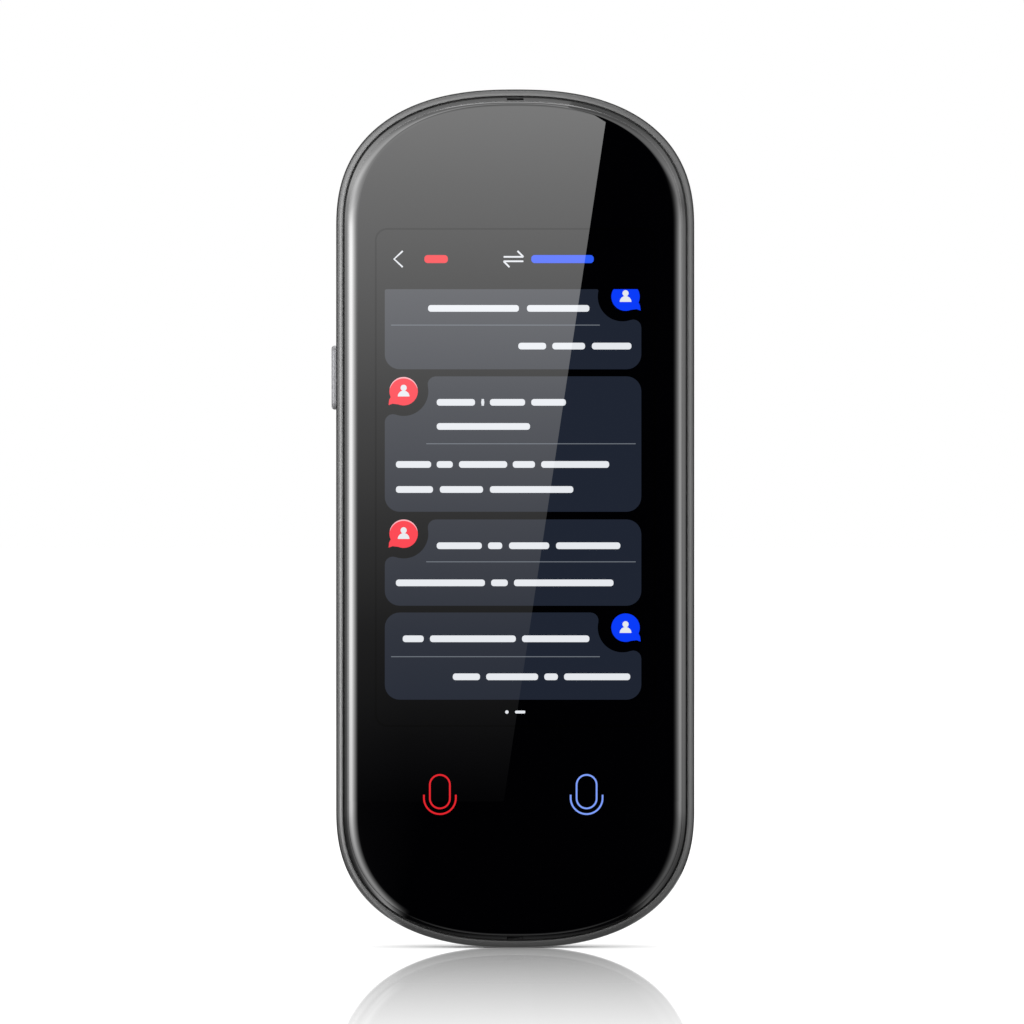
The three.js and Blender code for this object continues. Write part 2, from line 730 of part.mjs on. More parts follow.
function addMidFrame() {
  const rounded = [];
  for (let step = 0; step <= curveSteps; step += 1) {
    const turn = (step / curveSteps) * (Math.PI / 2);
    const inset = frameRound * (1 - Math.cos(turn));
    rounded.push([inset, frameFrontDepth - frameRound + frameRound * Math.sin(turn)]);
  }
  const section = [
    [0, shellRimDepth + partingGap],
    ...rounded,
    [frameBand, frameFrontDepth],
    [frameBand, frameLedgeDepth],
    [frameLedgeInset, frameLedgeDepth],
    [frameLedgeInset, frameStepDepth],
    [tongueInnerInset, frameStepDepth],
    [tongueInnerInset, tongueDepth],
    [tongueOuterInset, tongueDepth],
    [tongueOuterInset, shellRimDepth + partingGap],
  ];
  const pocketBack = shellRimDepth + partingGap + soundPocketFloor;
  const pocketOuter = bezelOuterInset;
  const pocketHeight = frameLedgeInset + soundPocketMargin - pocketOuter;
  const pocketZ = halfLength - pocketOuter - pocketHeight / 2;
  const pockets = [pocketZ, -pocketZ].map((z) => {
    return block(soundPocketWidth, pocketHeight, pocketBack, frameLedgeDepth + overrun, 0, z);
  });
  addPiece('mid_frame', cut(frameSolid(section), ...pockets), materials.frameMetal);
}

function addFrontBezel() {
  const section = [
    [bezelOuterInset, bezelBackDepth],
    [bezelOuterInset, bezelFrontDepth - bezelChamfer],
    [bezelOuterInset + bezelChamfer, bezelFrontDepth],
    [bezelInnerInset, bezelFrontDepth],
    [bezelInnerInset, bezelLedgeDepth],
    [bezelLedgeInset, bezelLedgeDepth],
    [bezelLedgeInset, bezelBackDepth],
  ];
  const slotZ = halfLength - (bezelOuterInset + bezelInnerInset) / 2;
  const slots = [slotZ, -slotZ].map((z) => {
    return block(soundSlotLength, soundSlotWidth, bezelBackDepth - overrun, bezelFrontDepth + overrun, 0, z);
  });
  addPiece('front_bezel', cut(frameSolid(section), ...slots), materials.glossBlack);
}

function addCoverGlass() {
  const rings = [outline(glassInset, glassInset, glassBackDepth)];
  for (let step = 0; step <= curveSteps; step += 1) {
    const turn = (step / curveSteps) * (Math.PI / 2);
    const inset = glassInset + glassCurveWidth * (1 - Math.cos(turn));
    const depth = caseDepth - glassCurveHeight * (1 - Math.sin(turn));
    rings.push(outline(inset, inset, depth));
  }
  addPiece('cover_glass', loftSolid(rings), materials.glass);

  const gasketOuter = glassInset + seatGap;
  const gasketInner = bezelLedgeInset - seatGap;
  const gasketBack = bezelLedgeDepth + filmGap;
  const gasketSection = [
    [gasketOuter, gasketBack],
    [gasketOuter, gasketBack + gasketThickness],
    [gasketInner, gasketBack + gasketThickness],
    [gasketInner, gasketBack],
  ];
  addPiece('glass_gasket', frameSolid(gasketSection), materials.foam);
}

function addDisplay() {
  const touchInset = bezelLedgeInset + touchMargin;
  const touchSheet = plate(outlineShape(touchInset), touchThickness, touchBackDepth);
  addPiece('touch_sensor', touchSheet, materials.glossBlack);

  const width = 2 * (halfWidth - displaySideInset + displayBorder);
  const length = displayTopZ - displayLowZ;
  const centreZ = (displayTopZ + displayLowZ) / 2;
  const panelFront = panelBackDepth + panelThickness;
  const backlightFront = backlightBackDepth + backlightThickness;
  addPiece(
    'display_panel',
    roundedBlock(width, length, displayCorner, panelBackDepth, panelFront, 0, centreZ),
    materials.glossBlack,
  );
  addPiece(
    'display_backlight',
    roundedBlock(width, length, displayCorner, backlightBackDepth, backlightFront, 0, centreZ),
    materials.whitePanel,
  );

  const alongChassis = chassisFrontDepth + seatGap + flexThickness / 2;
  const alongBoard = boardPartDepth - flexThickness / 2;
  const flexPath = [
    [alongChassis, displayLowZ - seatGap],
    [alongChassis, flexSlotZ + flexThickness],
    [alongChassis - flexThickness, flexSlotZ],
    [alongBoard + flexThickness, flexSlotZ],
    [alongBoard, flexSlotZ - flexThickness],
    [alongBoard, bottomBoardTopZ - displayFlexOverlap],
  ];
  addPiece('display_flex', ribbon(flexPath, flexThickness, displayFlexWidth, 0), materials.amberFilm);
}

function addTouchKeys() {
  const boardBack = chassisFrontDepth + 2 * seatGap + flexThickness;
  const boardFront = boardBack + keyBoardThickness;
  const lightBack = boardFront + filmGap;
  const lightFront = touchBackDepth - filmGap;
  const keyBoardLength = keyIconSpacing + keyLightWidth + 2 * keyBoardMargin;
  addPiece(
    'touch_key_board',
    block(keyBoardLength, keyBoardHeight, boardBack, boardFront, 0, keyIconZ),
    materials.board,
  );
  const lights = [
    ['red_key_light', -1, materials.redLight],
    ['blue_key_light', 1, materials.blueLight],
  ];
  lights.forEach(([name, side, material]) => {
    const x = (side * keyIconSpacing) / 2;
    const shape = roundedBlock(
      keyLightWidth, keyLightHeight, keyLightCorner, lightBack, lightFront, x, keyIconZ,
    );
    addPiece(name, shape, material);
  });
}

function addChassis() {
  const shape = outlineShape(chassisInset);
  const chassisHoleRadius = chassisScrewRadius + screwHoleGap;
  const boardHoleRadius = boardScrewRadius + screwHoleGap;
  chassisScrewPlaces.forEach(([x, z]) => shape.holes.push(holePath(x, z, chassisHoleRadius)));
  boardScrewPlaces.forEach(([x, z]) => shape.holes.push(holePath(x, z, boardHoleRadius)));
  const flexSlotLength = displayFlexWidth + 2 * flexSlotMargin;
  shape.holes.push(slotPath(0, flexSlotZ, flexSlotLength, flexSlotWidth));
  addPiece('inner_chassis', plate(shape, chassisThickness, chassisBackDepth), materials.alloy);
}

// A screw whose head lies on one side and whose shank points along the depth
function screw(headRadius, headHeight, shankRadius, shankLength) {
  const profile = [
    [0, headHeight],
    [headRadius, headHeight],
    [headRadius, 0],
    [shankRadius, 0],
    [shankRadius, -shankLength],
    [0, -shankLength],
  ];
  return turned(profile.reverse(), smallSteps);
}

function addScrews() {
  chassisScrewPlaces.forEach(([x, z], index) => {
    const shape = screw(
      chassisScrewHeadRadius, chassisScrewHeadHeight, chassisScrewRadius, chassisScrewLength,
    );
    const piece = addPiece(`chassis_screw_${index + 1}`, shape, materials.steel, x, screwHeadBackDepth, z);
    piece.rotation.x = Math.PI;
  });
  boardScrewPlaces.forEach(([x, z], index) => {
    const shape = screw(boardScrewHeadRadius, boardScrewHeadHeight, boardScrewRadius, boardScrewReach);
    addPiece(`board_screw_${index + 1}`, shape, materials.steel, x, boardPartDepth, z);
  });
}

// A thin metal can, open towards the board
function shieldCan(width, x) {
  const back = boardPartDepth - shieldHeight;
  const outer = block(width, shieldLength, back, boardPartDepth, x, shieldZ);
  const insideWidth = width - 2 * shieldWall;
  const insideLength = shieldLength - 2 * shieldWall;
  const inner = block(insideWidth, insideLength, back + shieldWall, boardPartDepth + overrun, x, shieldZ);
  return cut(outer, inner);
}

function addBoards() {
  const mainShape = sliceShape(boardInset, mainBoardLowZ, mainBoardTopZ, mainBoardHalfWidth);
  const bottomShape = sliceShape(boardInset, bottomBoardLowZ, bottomBoardTopZ, bottomBoardHalfWidth);
  boardScrewPlaces.forEach(([x, z], index) => {
    const shape = index < 2 ? mainShape : bottomShape;
    shape.holes.push(holePath(x, z, boardScrewRadius + screwHoleGap));
  });
  const bossNotches = chassisScrewPlaces.map(([x, z]) => {
    return peg(bossRadius + slip, boardBackDepth - overrun, boardFrontDepth + overrun, x, z, bossSteps);
  });
  const mainBoard = cut(plate(mainShape, boardThickness, boardBackDepth), ...bossNotches);
  const bottomBoard = cut(plate(bottomShape, boardThickness, boardBackDepth), ...bossNotches);
  addPiece('main_board', mainBoard, materials.board);
  addPiece('bottom_board', bottomBoard, materials.board);

  const processorBack = boardPartDepth - processorThickness;
  const memoryBack = boardPartDepth - memoryThickness;
  addPiece(
    'processor',
    block(processorSize, processorSize, processorBack, boardPartDepth, processorX, shieldZ),
    materials.chip,
  );
  addPiece(
    'memory_chip',
    block(memoryWidth, memoryLength, memoryBack, boardPartDepth, memoryX, shieldZ),
    materials.chip,
  );
  addPiece('processor_shield', shieldCan(processorShieldWidth, processorShieldX), materials.steel);
  addPiece('radio_shield', shieldCan(radioShieldWidth, radioShieldX), materials.steel);

  const linkDepth = boardPartDepth - flexThickness / 2;
  const linkPath = [
    [linkDepth, mainBoardLowZ + linkFlexOverlap],
    [linkDepth, bottomBoardTopZ - linkFlexOverlap],
  ];
  addPiece('link_flex', ribbon(linkPath, flexThickness, linkFlexWidth, linkFlexX), materials.amberFilm);
}

function addBattery() {
  const batteryWidth = batteryRightX - batteryLeftX;
  const batteryLength = batteryTopZ - batteryLowZ;
  const centreZ = (batteryTopZ + batteryLowZ) / 2;
  const tapeFront = boardFrontDepth;
  const tapeBack = tapeFront - tapeThickness;
  const cellFront = tapeBack - filmGap;
  const cellBack = cellFront - batteryThickness;
  const cellMiddle = (cellFront + cellBack) / 2;
  const ringAt = (z) =>
    roundedRing(batteryWidth, batteryThickness, batteryRound).map(([across, rise]) => {
      return new THREE.Vector3(batteryX + across, rise - cellMiddle, z);
    });
  const cell = loftSolid([ringAt(batteryLowZ), ringAt(batteryTopZ)]);
  addPiece('battery_cell', cell, materials.cell);
  const tapeWidth = batteryWidth - 2 * tapeMargin;
  const tapeLength = batteryLength - 2 * tapeMargin;
  const tape = block(tapeWidth, tapeLength, tapeBack, tapeFront, batteryX, centreZ);
  addPiece('battery_tape', tape, materials.foam);

  const cellBoard = block(
    batteryWidth - 2 * cellBoardMargin,
    cellBoardHeight,
    cellMiddle - cellBoardThickness / 2,
    cellMiddle + cellBoardThickness / 2,
    batteryX,
    cellBoardTopZ - cellBoardHeight / 2,
  );
  addPiece('battery_protection_board', cellBoard, materials.board);

  const plugBack = boardPartDepth - plugThickness;
  const plugZ = plugLowZ + plugHeight / 2;
  const plug = block(plugWidth, plugHeight, plugBack, boardPartDepth, plugX, plugZ);
  addPiece('battery_plug', plug, materials.whitePanel);

  const plugMiddle = boardPartDepth - plugThickness / 2;
  const leadLowZ = cellBoardTopZ + seatGap;
  const leadTopZ = plugLowZ - seatGap;
  const leadBend = (leadTopZ - leadLowZ) * leadBendShare;
  const leads = [
    ['battery_lead_positive', -1, materials.redWire],
    ['battery_lead_negative', 1, materials.blackWire],
  ];
  leads.forEach(([name, side, material]) => {
    const x = plugX + (side * leadSpacing) / 2;
    const route = new THREE.CubicBezierCurve3(
      new THREE.Vector3(x, -cellMiddle, leadLowZ),
      new THREE.Vector3(x, -cellMiddle, leadLowZ + leadBend),
      new THREE.Vector3(x, -plugMiddle, leadTopZ - leadBend),
      new THREE.Vector3(x, -plugMiddle, leadTopZ),
    );
    const section = new THREE.Shape();
    section.absarc(0, 0, leadRadius, 0, Math.PI * 2, false);
    const lead = new THREE.ExtrudeGeometry(section, {
      steps: leadSteps,
      curveSegments: smallSteps / 2,
      bevelEnabled: false,
      extrudePath: route,
    });
    addPiece(name, lead, material);
  });
}

function addSpeaker() {
  const meshFront = meshBackDepth + meshThickness;
  const meshZ = speakerZ + meshRise;
  addPiece(
    'speaker_mesh',
    roundedBlock(meshWidth, meshHeight, meshHeight / 2, meshBackDepth, meshFront, 0, meshZ),
    materials.blackPlastic,
  );

  const gasketFront = meshBackDepth + speakerGasketThickness;
  const gasketOuter = roundedBlock(
    gasketWidth, gasketHeight, gasketHeight / 2, meshBackDepth, gasketFront, 0, speakerZ,
  );
  const gasketInsideHeight = gasketHeight - 2 * gasketWall;
  const gasketInner = roundedBlock(
    gasketWidth - 2 * gasketWall,
    gasketInsideHeight,
    gasketInsideHeight / 2,
    meshBackDepth - overrun,
    gasketFront + overrun,
    0,
    speakerZ,
  );
  addPiece('speaker_gasket', cut(gasketOuter, gasketInner), materials.foam);

  const pocketWidth = gasketWidth - 2 * speakerFrameWall;
  const pocketHeight = gasketHeight - 2 * speakerFrameWall;
  const pocketFloor = speakerFrameBack + speakerPocketDepth;
  const frameOuter = roundedBlock(
    gasketWidth, gasketHeight, gasketHeight / 2, speakerFrameBack, speakerFrameFront, 0, speakerZ,
  );
  const framePocket = roundedBlock(
    pocketWidth, pocketHeight, pocketHeight / 2, speakerFrameBack - overrun, pocketFloor, 0, speakerZ,
  );
  addPiece('speaker_frame', cut(frameOuter, framePocket), materials.blackPlastic);

  const magnetFront = pocketFloor - seatGap;
  addPiece(
    'speaker_magnet',
    roundedBlock(
      magnetWidth, magnetHeight, magnetHeight / 2, magnetFront - magnetThickness, magnetFront, 0, speakerZ,
    ),
    materials.steel,
  );

  // An oval sheet whose middle is raised towards the magnet like a shallow dome
  const sheetWidth = pocketWidth - 2 * slip;
  const sheetHeight = pocketHeight - 2 * slip;
  const rimDepth = speakerFrameBack + diaphragmDrop;
  const sheetRing = (share, depth) =>
    roundedRing(sheetWidth * share, sheetHeight * share, (sheetHeight * share) / 2).map(([across, rise]) => {
      return new THREE.Vector3(across, -depth, speakerZ + rise);
    });
  const domeShares = [1, 0.72, 0.4];
  const domeHeightShares = [0, 0.35, 1];
  const backRings = domeShares.map((share, index) => {
    return sheetRing(share, rimDepth + diaphragmDome * domeHeightShares[index]);
  });
  const frontRings = domeShares.map((share, index) => {
    return sheetRing(share, rimDepth + diaphragmThickness + diaphragmDome * domeHeightShares[index]);
  });
  const sheetBody = loftSolid([sheetRing(1, rimDepth), ...frontRings]);
  const hollowRings = backRings.map((ring) => ring.map((point) => point.clone()));
  hollowRings[0].forEach((point) => point.setY(point.y + filmGap));
  addPiece('speaker_diaphragm', cut(sheetBody, loftSolid(hollowRings)), materials.blackPlastic);

  const contactBack = speakerFrameFront + seatGap;
  const contactLength = boardPartDepth - contactBack;
  const contactTurn = contactLength * (1 - contactTipShare);
  const contactProfile = [
    [0, 0],
    [contactRadius, 0],
    [contactRadius, contactTurn],
    [contactTipRadius, contactTurn],
    [contactTipRadius, contactLength],
    [0, contactLength],
  ];
  ['left', 'right'].forEach((name, index) => {
    const shape = turned(contactProfile, smallSteps);
    const x = ((index * 2 - 1) * contactSpacing) / 2;
    const piece = addPiece(`speaker_contact_${name}`, shape, materials.gold, x, contactBack, speakerZ);
    piece.rotation.x = Math.PI;
  });
}

function addCamera() {
  const trimProfile = [
    [trimRadius, 0],
    [trimRadius, trimThickness],
    [trimInnerRadius - trimLedgeWidth, trimThickness],
    [trimInnerRadius - trimLedgeWidth, trimLedgeDepth],
    [trimInnerRadius, trimLedgeDepth],
    [trimInnerRadius, 0],
    [trimRadius, 0],
  ];
  const trimShape = turned(trimProfile, roundSteps);
  const trim = addPiece('camera_trim_ring', trimShape, materials.glossBlack, 0, 0, cameraZ);
  trim.rotation.x = Math.PI;

  const windowRadius = trimInnerRadius - seatGap;
  addPiece(
    'camera_window',
    peg(windowRadius, windowDrop, windowDrop + windowThickness, 0, cameraZ, roundSteps),
    materials.lensGlass,
  );

  const barrelFront = barrelTopDepth + barrelLength;
  const pocketFloor = barrelTopDepth + barrelPocket;
  const barrel = peg(barrelRadius, barrelTopDepth, barrelFront, 0, cameraZ, roundSteps);
  const pocket = peg(barrelBore, barrelTopDepth - overrun, pocketFloor, 0, cameraZ, roundSteps);
  addPiece('lens_barrel', cut(barrel, pocket), materials.blackPlastic);

  // A flat-backed lens with a domed outer face
  const lensRadius = barrelBore - seatGap;
  const lensProfile = [
    [0, 0],
    [lensRadius, 0],
    [lensRadius, lensEdge],
  ];
  for (let step = 1; step <= curveSteps; step += 1) {
    const turn = (step / curveSteps) * (Math.PI / 2);
    lensProfile.push([lensRadius * Math.cos(turn), lensEdge + lensDome * Math.sin(turn)]);
  }
  lensProfile[lensProfile.length - 1][0] = 0;
  const lens = turned(lensProfile, roundSteps);
  addPiece('camera_lens', lens, materials.lensGlass, 0, pocketFloor - lensLift, cameraZ);

  const bodyBack = barrelFront + seatGap;
  addPiece(
    'camera_module',
    block(cameraBodySize, cameraBodySize, bodyBack, boardPartDepth, 0, cameraZ),
    materials.blackPlastic,
  );
}

function addPowerKey() {
  const outerX = -halfWidth - keyProud;
  const flangeLength = keyLength + 2 * keyFlange;
  const flangeWidth = keyWidth + 2 * keyFlange;
  const key = keyBar([
    [outerX, keyLength - 2 * keyChamfer, keyWidth - 2 * keyChamfer],
    [outerX + keyChamfer, keyLength, keyWidth],
    [keyFlangeX, keyLength, keyWidth],
    [keyFlangeX, flangeLength, flangeWidth],
    [keyFlangeEndX, flangeLength, flangeWidth],
  ]);
  addPiece('power_key', key, materials.casePaint);

  const plungerEndX = switchX + plungerBuried;
  const switchBack = boardPartDepth - switchHeight;
  const bodyX = (switchX + switchEndX) / 2;
  const body = block(switchWidth, switchLength, switchBack, boardPartDepth, bodyX, keyZ);
  const pinAlongX = (radius, startX, endX) => {
    const shape = new THREE.CylinderGeometry(radius, radius, endX - startX, smallSteps);
    shape.rotateZ(Math.PI / 2);
    return shape.translate((startX + endX) / 2, -keyDepth, keyZ);
  };
  const recess = pinAlongX(plungerRadius + slip, switchX - overrun, plungerEndX + keyTravel + slip);
  addPiece('side_switch', cut(body, recess), materials.steel);
  addPiece('switch_plunger', pinAlongX(plungerRadius, plungerX, plungerEndX), materials.blackPlastic);
}

function addPort() {
  const mouthZ = portRecess - halfLength;
  const rearZ = mouthZ + portLength;
  const floorZ = rearZ - portWall;
  const insideWidth = portWidth - 2 * portWall;
  const insideHeight = portHeight - 2 * portWall;
  const outer = portBar(portWidth, portHeight, mouthZ, rearZ);
  const inner = portBar(insideWidth, insideHeight, mouthZ - overrun, floorZ);
  addPiece('usb_shell', cut(outer, inner), materials.steel);

  const tongueTip = mouthZ + tongueTipDrop;
  const tongueBack = portDepth - portTongueThickness / 2;
  const tongueFront = portDepth + portTongueThickness / 2;
  const tongueEndZ = floorZ - seatGap;
  addPiece(
    'usb_tongue',
    block(
      portTongueWidth, tongueEndZ - tongueTip, tongueBack, tongueFront, 0, (tongueTip + tongueEndZ) / 2,
    ),
    materials.blackPlastic,
  );
}

function addMicrophones() {
  const back = chassisFrontDepth + seatGap;
  const micFront = back + micThickness;
  const bootTopZ = halfLength - frameLedgeInset - slip;
  const bootLowZ = bootTopZ - bootLength;
  const micTopZ = bootLowZ - seatGap;
  const places = [
    ['top', 1],
    ['bottom', -1],
  ];
  places.forEach(([name, side]) => {
    const bootZ = (side * (bootTopZ + bootLowZ)) / 2;
    const boot = block(bootWidth, bootLength, back, micFront, 0, bootZ);
    const mouthFront = micFront - (micThickness - bootMouth) / 2;
    const mouth = block(bootMouth, bootLength + overrun, mouthFront - bootMouth, mouthFront, 0, bootZ);
    addPiece(`${name}_microphone_boot`, cut(boot, mouth), materials.rubber);
    const micZ = side * (micTopZ - micLength / 2);
    addPiece(`${name}_microphone`, block(micWidth, micLength, back, micFront, 0, micZ), materials.gold);
  });
}

function addAntenna() {
  const front = shellWall + seatGap + antennaThickness;
  addPiece(
    'antenna_film',
    roundedBlock(antennaWidth, antennaHeight, antennaCorner, shellWall + seatGap, front, 0, antennaZ),
    materials.amberFilm,
  );
}

addRearShell();
addMidFrame();
addFrontBezel();
addCoverGlass();
addDisplay();
addTouchKeys();
addChassis();
addScrews();
addBoards();
addBattery();
addSpeaker();
addCamera();
addPowerKey();
addPort();
addMicrophones();
addAntenna();

export default translator;
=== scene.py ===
from functools import partial
import math

import bmesh
import bpy
import numpy as np
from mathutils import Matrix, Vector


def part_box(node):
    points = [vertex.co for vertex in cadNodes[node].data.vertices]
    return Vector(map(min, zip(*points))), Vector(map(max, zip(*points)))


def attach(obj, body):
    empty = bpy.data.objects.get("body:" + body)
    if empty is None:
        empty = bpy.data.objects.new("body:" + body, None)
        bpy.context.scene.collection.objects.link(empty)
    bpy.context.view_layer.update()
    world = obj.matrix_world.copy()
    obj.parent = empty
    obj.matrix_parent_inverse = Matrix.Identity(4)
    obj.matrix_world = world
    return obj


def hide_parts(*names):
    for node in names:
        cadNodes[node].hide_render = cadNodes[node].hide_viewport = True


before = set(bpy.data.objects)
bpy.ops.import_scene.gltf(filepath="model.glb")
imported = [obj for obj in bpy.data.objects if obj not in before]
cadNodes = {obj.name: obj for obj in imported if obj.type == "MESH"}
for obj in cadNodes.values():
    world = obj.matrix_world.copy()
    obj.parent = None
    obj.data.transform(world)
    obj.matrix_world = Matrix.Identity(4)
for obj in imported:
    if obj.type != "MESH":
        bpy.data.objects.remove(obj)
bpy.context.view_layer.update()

# Handheld translator: smooth skins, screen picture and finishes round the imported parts.
# Lengths in this file are in millimetres; mm turns them into metres.
# Seen from the screen side, +X is right and +Z is up. Depth is the distance in front of the flat back.

mm = 0.001

caseForm = {
    "halfWidth": 29.0,
    "capBase": 47.1,  # where the straight sides end
    "capHeight": 22.4,
    "capPower": 2.4,
    "capSamples": 1500,  # points along a cap before they are spread evenly
    "capSteps": 64,  # per quarter
    "sideSteps": 28,
    "sharpAngle": 32,
    "mergeDistance": 1e-4,
}


# Mesh helpers

def superCurve(sideInset, endInset):
    # One quarter cap: x = across * cos(t)^(2/power), z = base + up * sin(t)^(2/power).
    # Its points are spread evenly by length.
    c = caseForm
    turn = np.linspace(0, math.pi / 2, c["capSamples"])
    share = 2 / c["capPower"]
    x = (c["halfWidth"] - sideInset) * np.cos(turn).clip(0) ** share
    z = (c["capHeight"] - endInset) * np.sin(turn) ** share
    length = np.concatenate([[0], np.cumsum(np.hypot(np.diff(x), np.diff(z)))])
    places = np.linspace(0, length[-1], c["capSteps"] + 1)
    return np.interp(places, length, x), c["capBase"] + np.interp(places, length, z)


def laidAt(points, depth):
    # (across, up) pairs laid at a depth: (x, -depth, z).
    return np.insert(points, 1, -depth, axis=1)


def ringAt(depth, sideInset, endInset=None):
    # The outline laid at a depth: four quarter caps and two straight sides, anticlockwise from the right.
    # The ends are drawn in as far as the sides, unless they have an inset of their own.
    x, z = superCurve(sideInset, sideInset if endInset is None else endInset)
    base = caseForm["capBase"]
    side = np.linspace(base, -base, caseForm["sideSteps"] + 1)[1:-1]
    across = np.full(len(side), caseForm["halfWidth"] - sideInset)
    ringX = np.concatenate([x, -x[-2::-1], -across, -x, x[-2::-1], across])
    ringZ = np.concatenate([z, z[-2::-1], side, -z, -z[-2::-1], side[::-1]])
    return laidAt(np.stack([ringX, ringZ], axis=1), depth)


def arcRow(start, end, count):
    # Evenly spread angles in radians from start to end degrees.
    return np.radians(np.linspace(start, end, count))


def arcPoints(centre, radius, start, end, count):
    # An arc of (across, up) pairs from start to end degrees.
    turn = arcRow(start, end, count)
    return radius * np.stack([np.cos(turn), np.sin(turn)], axis=1) + centre


def stadium(width, height, radius, steps=12):
    # A rounded rectangle: straight edges joined by quarter circles, as (across, up) pairs.
    corners = []
    for right, up, start in [(1, 1, 0), (-1, 1, 90), (-1, -1, 180), (1, -1, 270)]:
        middle = (right * (width / 2 - radius), up * (height / 2 - radius))
        corners.append(arcPoints(middle, radius, start, start + 90, steps + 1))
    ring = np.concatenate(corners)
    apart = np.linalg.norm(ring - np.roll(ring, 1, axis=0), axis=1)
    return ring[apart > caseForm["mergeDistance"]]


def addObject(name, data):
    thing = bpy.data.objects.new(name, data)
    bpy.context.scene.collection.objects.link(thing)
    return thing


def meshObject(name, verts, faces):
    # A mesh from points in millimetres.
    mesh = bpy.data.meshes.new(name)
    mesh.from_pydata((np.asarray(verts, float) * mm).tolist(), [], faces)
    return addObject(name, mesh)


def smoothMesh(mesh):
    mesh.shade_smooth()
    mesh.set_sharp_from_angle(angle=math.radians(caseForm["sharpAngle"]))


def pieceFrom(name, verts, faces, body="housing", smooth=True):
    # Points and faces become one closed piece that rides on a body.
    piece = meshObject(name, verts, faces)
    work = bmesh.new()
    work.from_mesh(piece.data)
    bmesh.ops.remove_doubles(work, verts=work.verts, dist=caseForm["mergeDistance"] * mm)
    bmesh.ops.recalc_face_normals(work, faces=work.faces)
    work.to_mesh(piece.data)
    work.free()
    if smooth:
        smoothMesh(piece.data)
    piece.data.update()
    if body:
        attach(piece, body)
    return piece


def gridFaces(rowCount, ringCount, wrapRows=False):
    # Quads between neighbouring rings; the rings close on themselves.
    index = np.arange(rowCount * ringCount).reshape(rowCount, ringCount)
    nextRow = np.roll(index, -1, axis=0)
    quads = np.stack([index, np.roll(index, -1, axis=1), np.roll(nextRow, -1, axis=1), nextRow], axis=-1)
    return quads[:rowCount if wrapRows else rowCount - 1].reshape(-1, 4).tolist()


def skinFaces(rings, wrapRows=False):
    # The quads between the rings. Unless the rows wrap, the first and last ring are closed by a face each.
    count = len(rings[0])
    faces = gridFaces(len(rings), count, wrapRows)
    if wrapRows:
        return faces
    last = (len(rings) - 1) * count
    return faces + [list(range(count))[::-1], list(range(last, last + count))]


def skin(name, rings, body="housing", wrapRows=False):
    # A surface through rings of equal count.
    return pieceFrom(name, np.concatenate(rings), skinFaces(rings, wrapRows), body)


def flatPiece(name, stacks, finish, wrapRows=False):
    # Several small skins as one piece with plain flat faces.
    verts, faces = [], []
    for rings in stacks:
        faces += [[len(verts) + i for i in face] for face in skinFaces(rings, wrapRows)]
        verts += np.concatenate(rings).tolist()
    finishPiece(pieceFrom(name, verts, faces, smooth=False), finish)


def frameSkin(name, section):
    # A ring round the outline whose section is a closed loop of (inset, depth) pairs.
    return skin(name, [ringAt(depth, inset) for inset, depth in section], wrapRows=True)


def turnedRings(profile, centre, steps=96):
    # A profile of (radius, along) pairs turned about a line: x = radius cos, z = radius sin.
    turn = np.linspace(0, 2 * math.pi, steps, endpoint=False)
    circle = np.stack([np.cos(turn), np.sin(turn)], axis=1)
    return [laidAt(radius * circle + centre, along) for radius, along in profile]


def cutWith(piece, cutters):
    # Takes the cutters' shapes out of the piece and leaves its mesh finished.
    bpy.ops.object.select_all(action="DESELECT")
    for cutter in cutters:
        cutter.select_set(True)
    tool = cutters[0]
    bpy.context.view_layer.objects.active = tool
    bpy.ops.object.join()
    change = piece.modifiers.new("holes", "BOOLEAN")
    change.operation = "DIFFERENCE"
    change.solver = "EXACT"
    change.object = tool
    graph = bpy.context.evaluated_depsgraph_get()
    mesh = bpy.data.meshes.new_from_object(piece.evaluated_get(graph))
    piece.modifiers.clear()
    old = piece.data
    piece.data = mesh
    bpy.data.meshes.remove(old)
    bpy.data.objects.remove(tool)
    mesh.name = piece.name
    smoothMesh(mesh)


def finishPiece(piece, material):
    piece.data.materials.clear()
    piece.data.materials.append(material)


# Material helpers

def feed(tree, socket, value):
    # A socket takes another node's output, a colour of three values, or a plain value.
    if isinstance(value, bpy.types.NodeSocket):
        tree.links.new(value, socket)
    elif socket.type == "RGBA":
        socket.default_value = (*value, 1)
    else:
        socket.default_value = value


def newNode(tree, kind, inputs=(), **settings):
    # One shader node: its settings, and what feeds its inputs by name or number.
    node = tree.nodes.new("ShaderNode" + kind)
    for key, value in settings.items():
        setattr(node, key, value)
    for key, value in dict(inputs).items():
        feed(tree, node.inputs[key], value)
    return node


def mathNode(tree, operation, first, *others, clamp=False):
    # One operation on two values, or the same one over several, from left to right.
    for other in others or (0,):
        node = newNode(tree, "Math", {0: first, 1: other}, operation=operation, use_clamp=clamp)
        first = node.outputs[0]
    return first


def shareBetween(calc, value, start, end):
    # 0 up to the start, 1 from the end on, and straight between.
    return calc("DIVIDE", calc("SUBTRACT", value, start), end - start, clamp=True)


def degreesNode(calc, across, ahead):
    # Angle from ahead towards across.
    return calc("MULTIPLY", calc("ARCTAN2", across, ahead), 180 / math.pi)


def objectPlace(tree):
    return newNode(tree, "TexCoord").outputs["Object"]


def objectAxes(tree):
    # X, Y and Z of a point on the piece, in metres.
    return newNode(tree, "SeparateXYZ", {0: objectPlace(tree)}).outputs


def mixColour(tree, share, first, second, blend="MIX"):
    inputs = {0: share, 6: first, 7: second}
    return newNode(tree, "Mix", inputs, data_type="RGBA", blend_type=blend).outputs[2]


def dimmed(tree, colour, level):
    # A colour times a grey level.
    grey = newNode(tree, "CombineColor", {0: level, 1: level, 2: level}).outputs[0]
    return mixColour(tree, 1.0, colour, grey, "MULTIPLY")


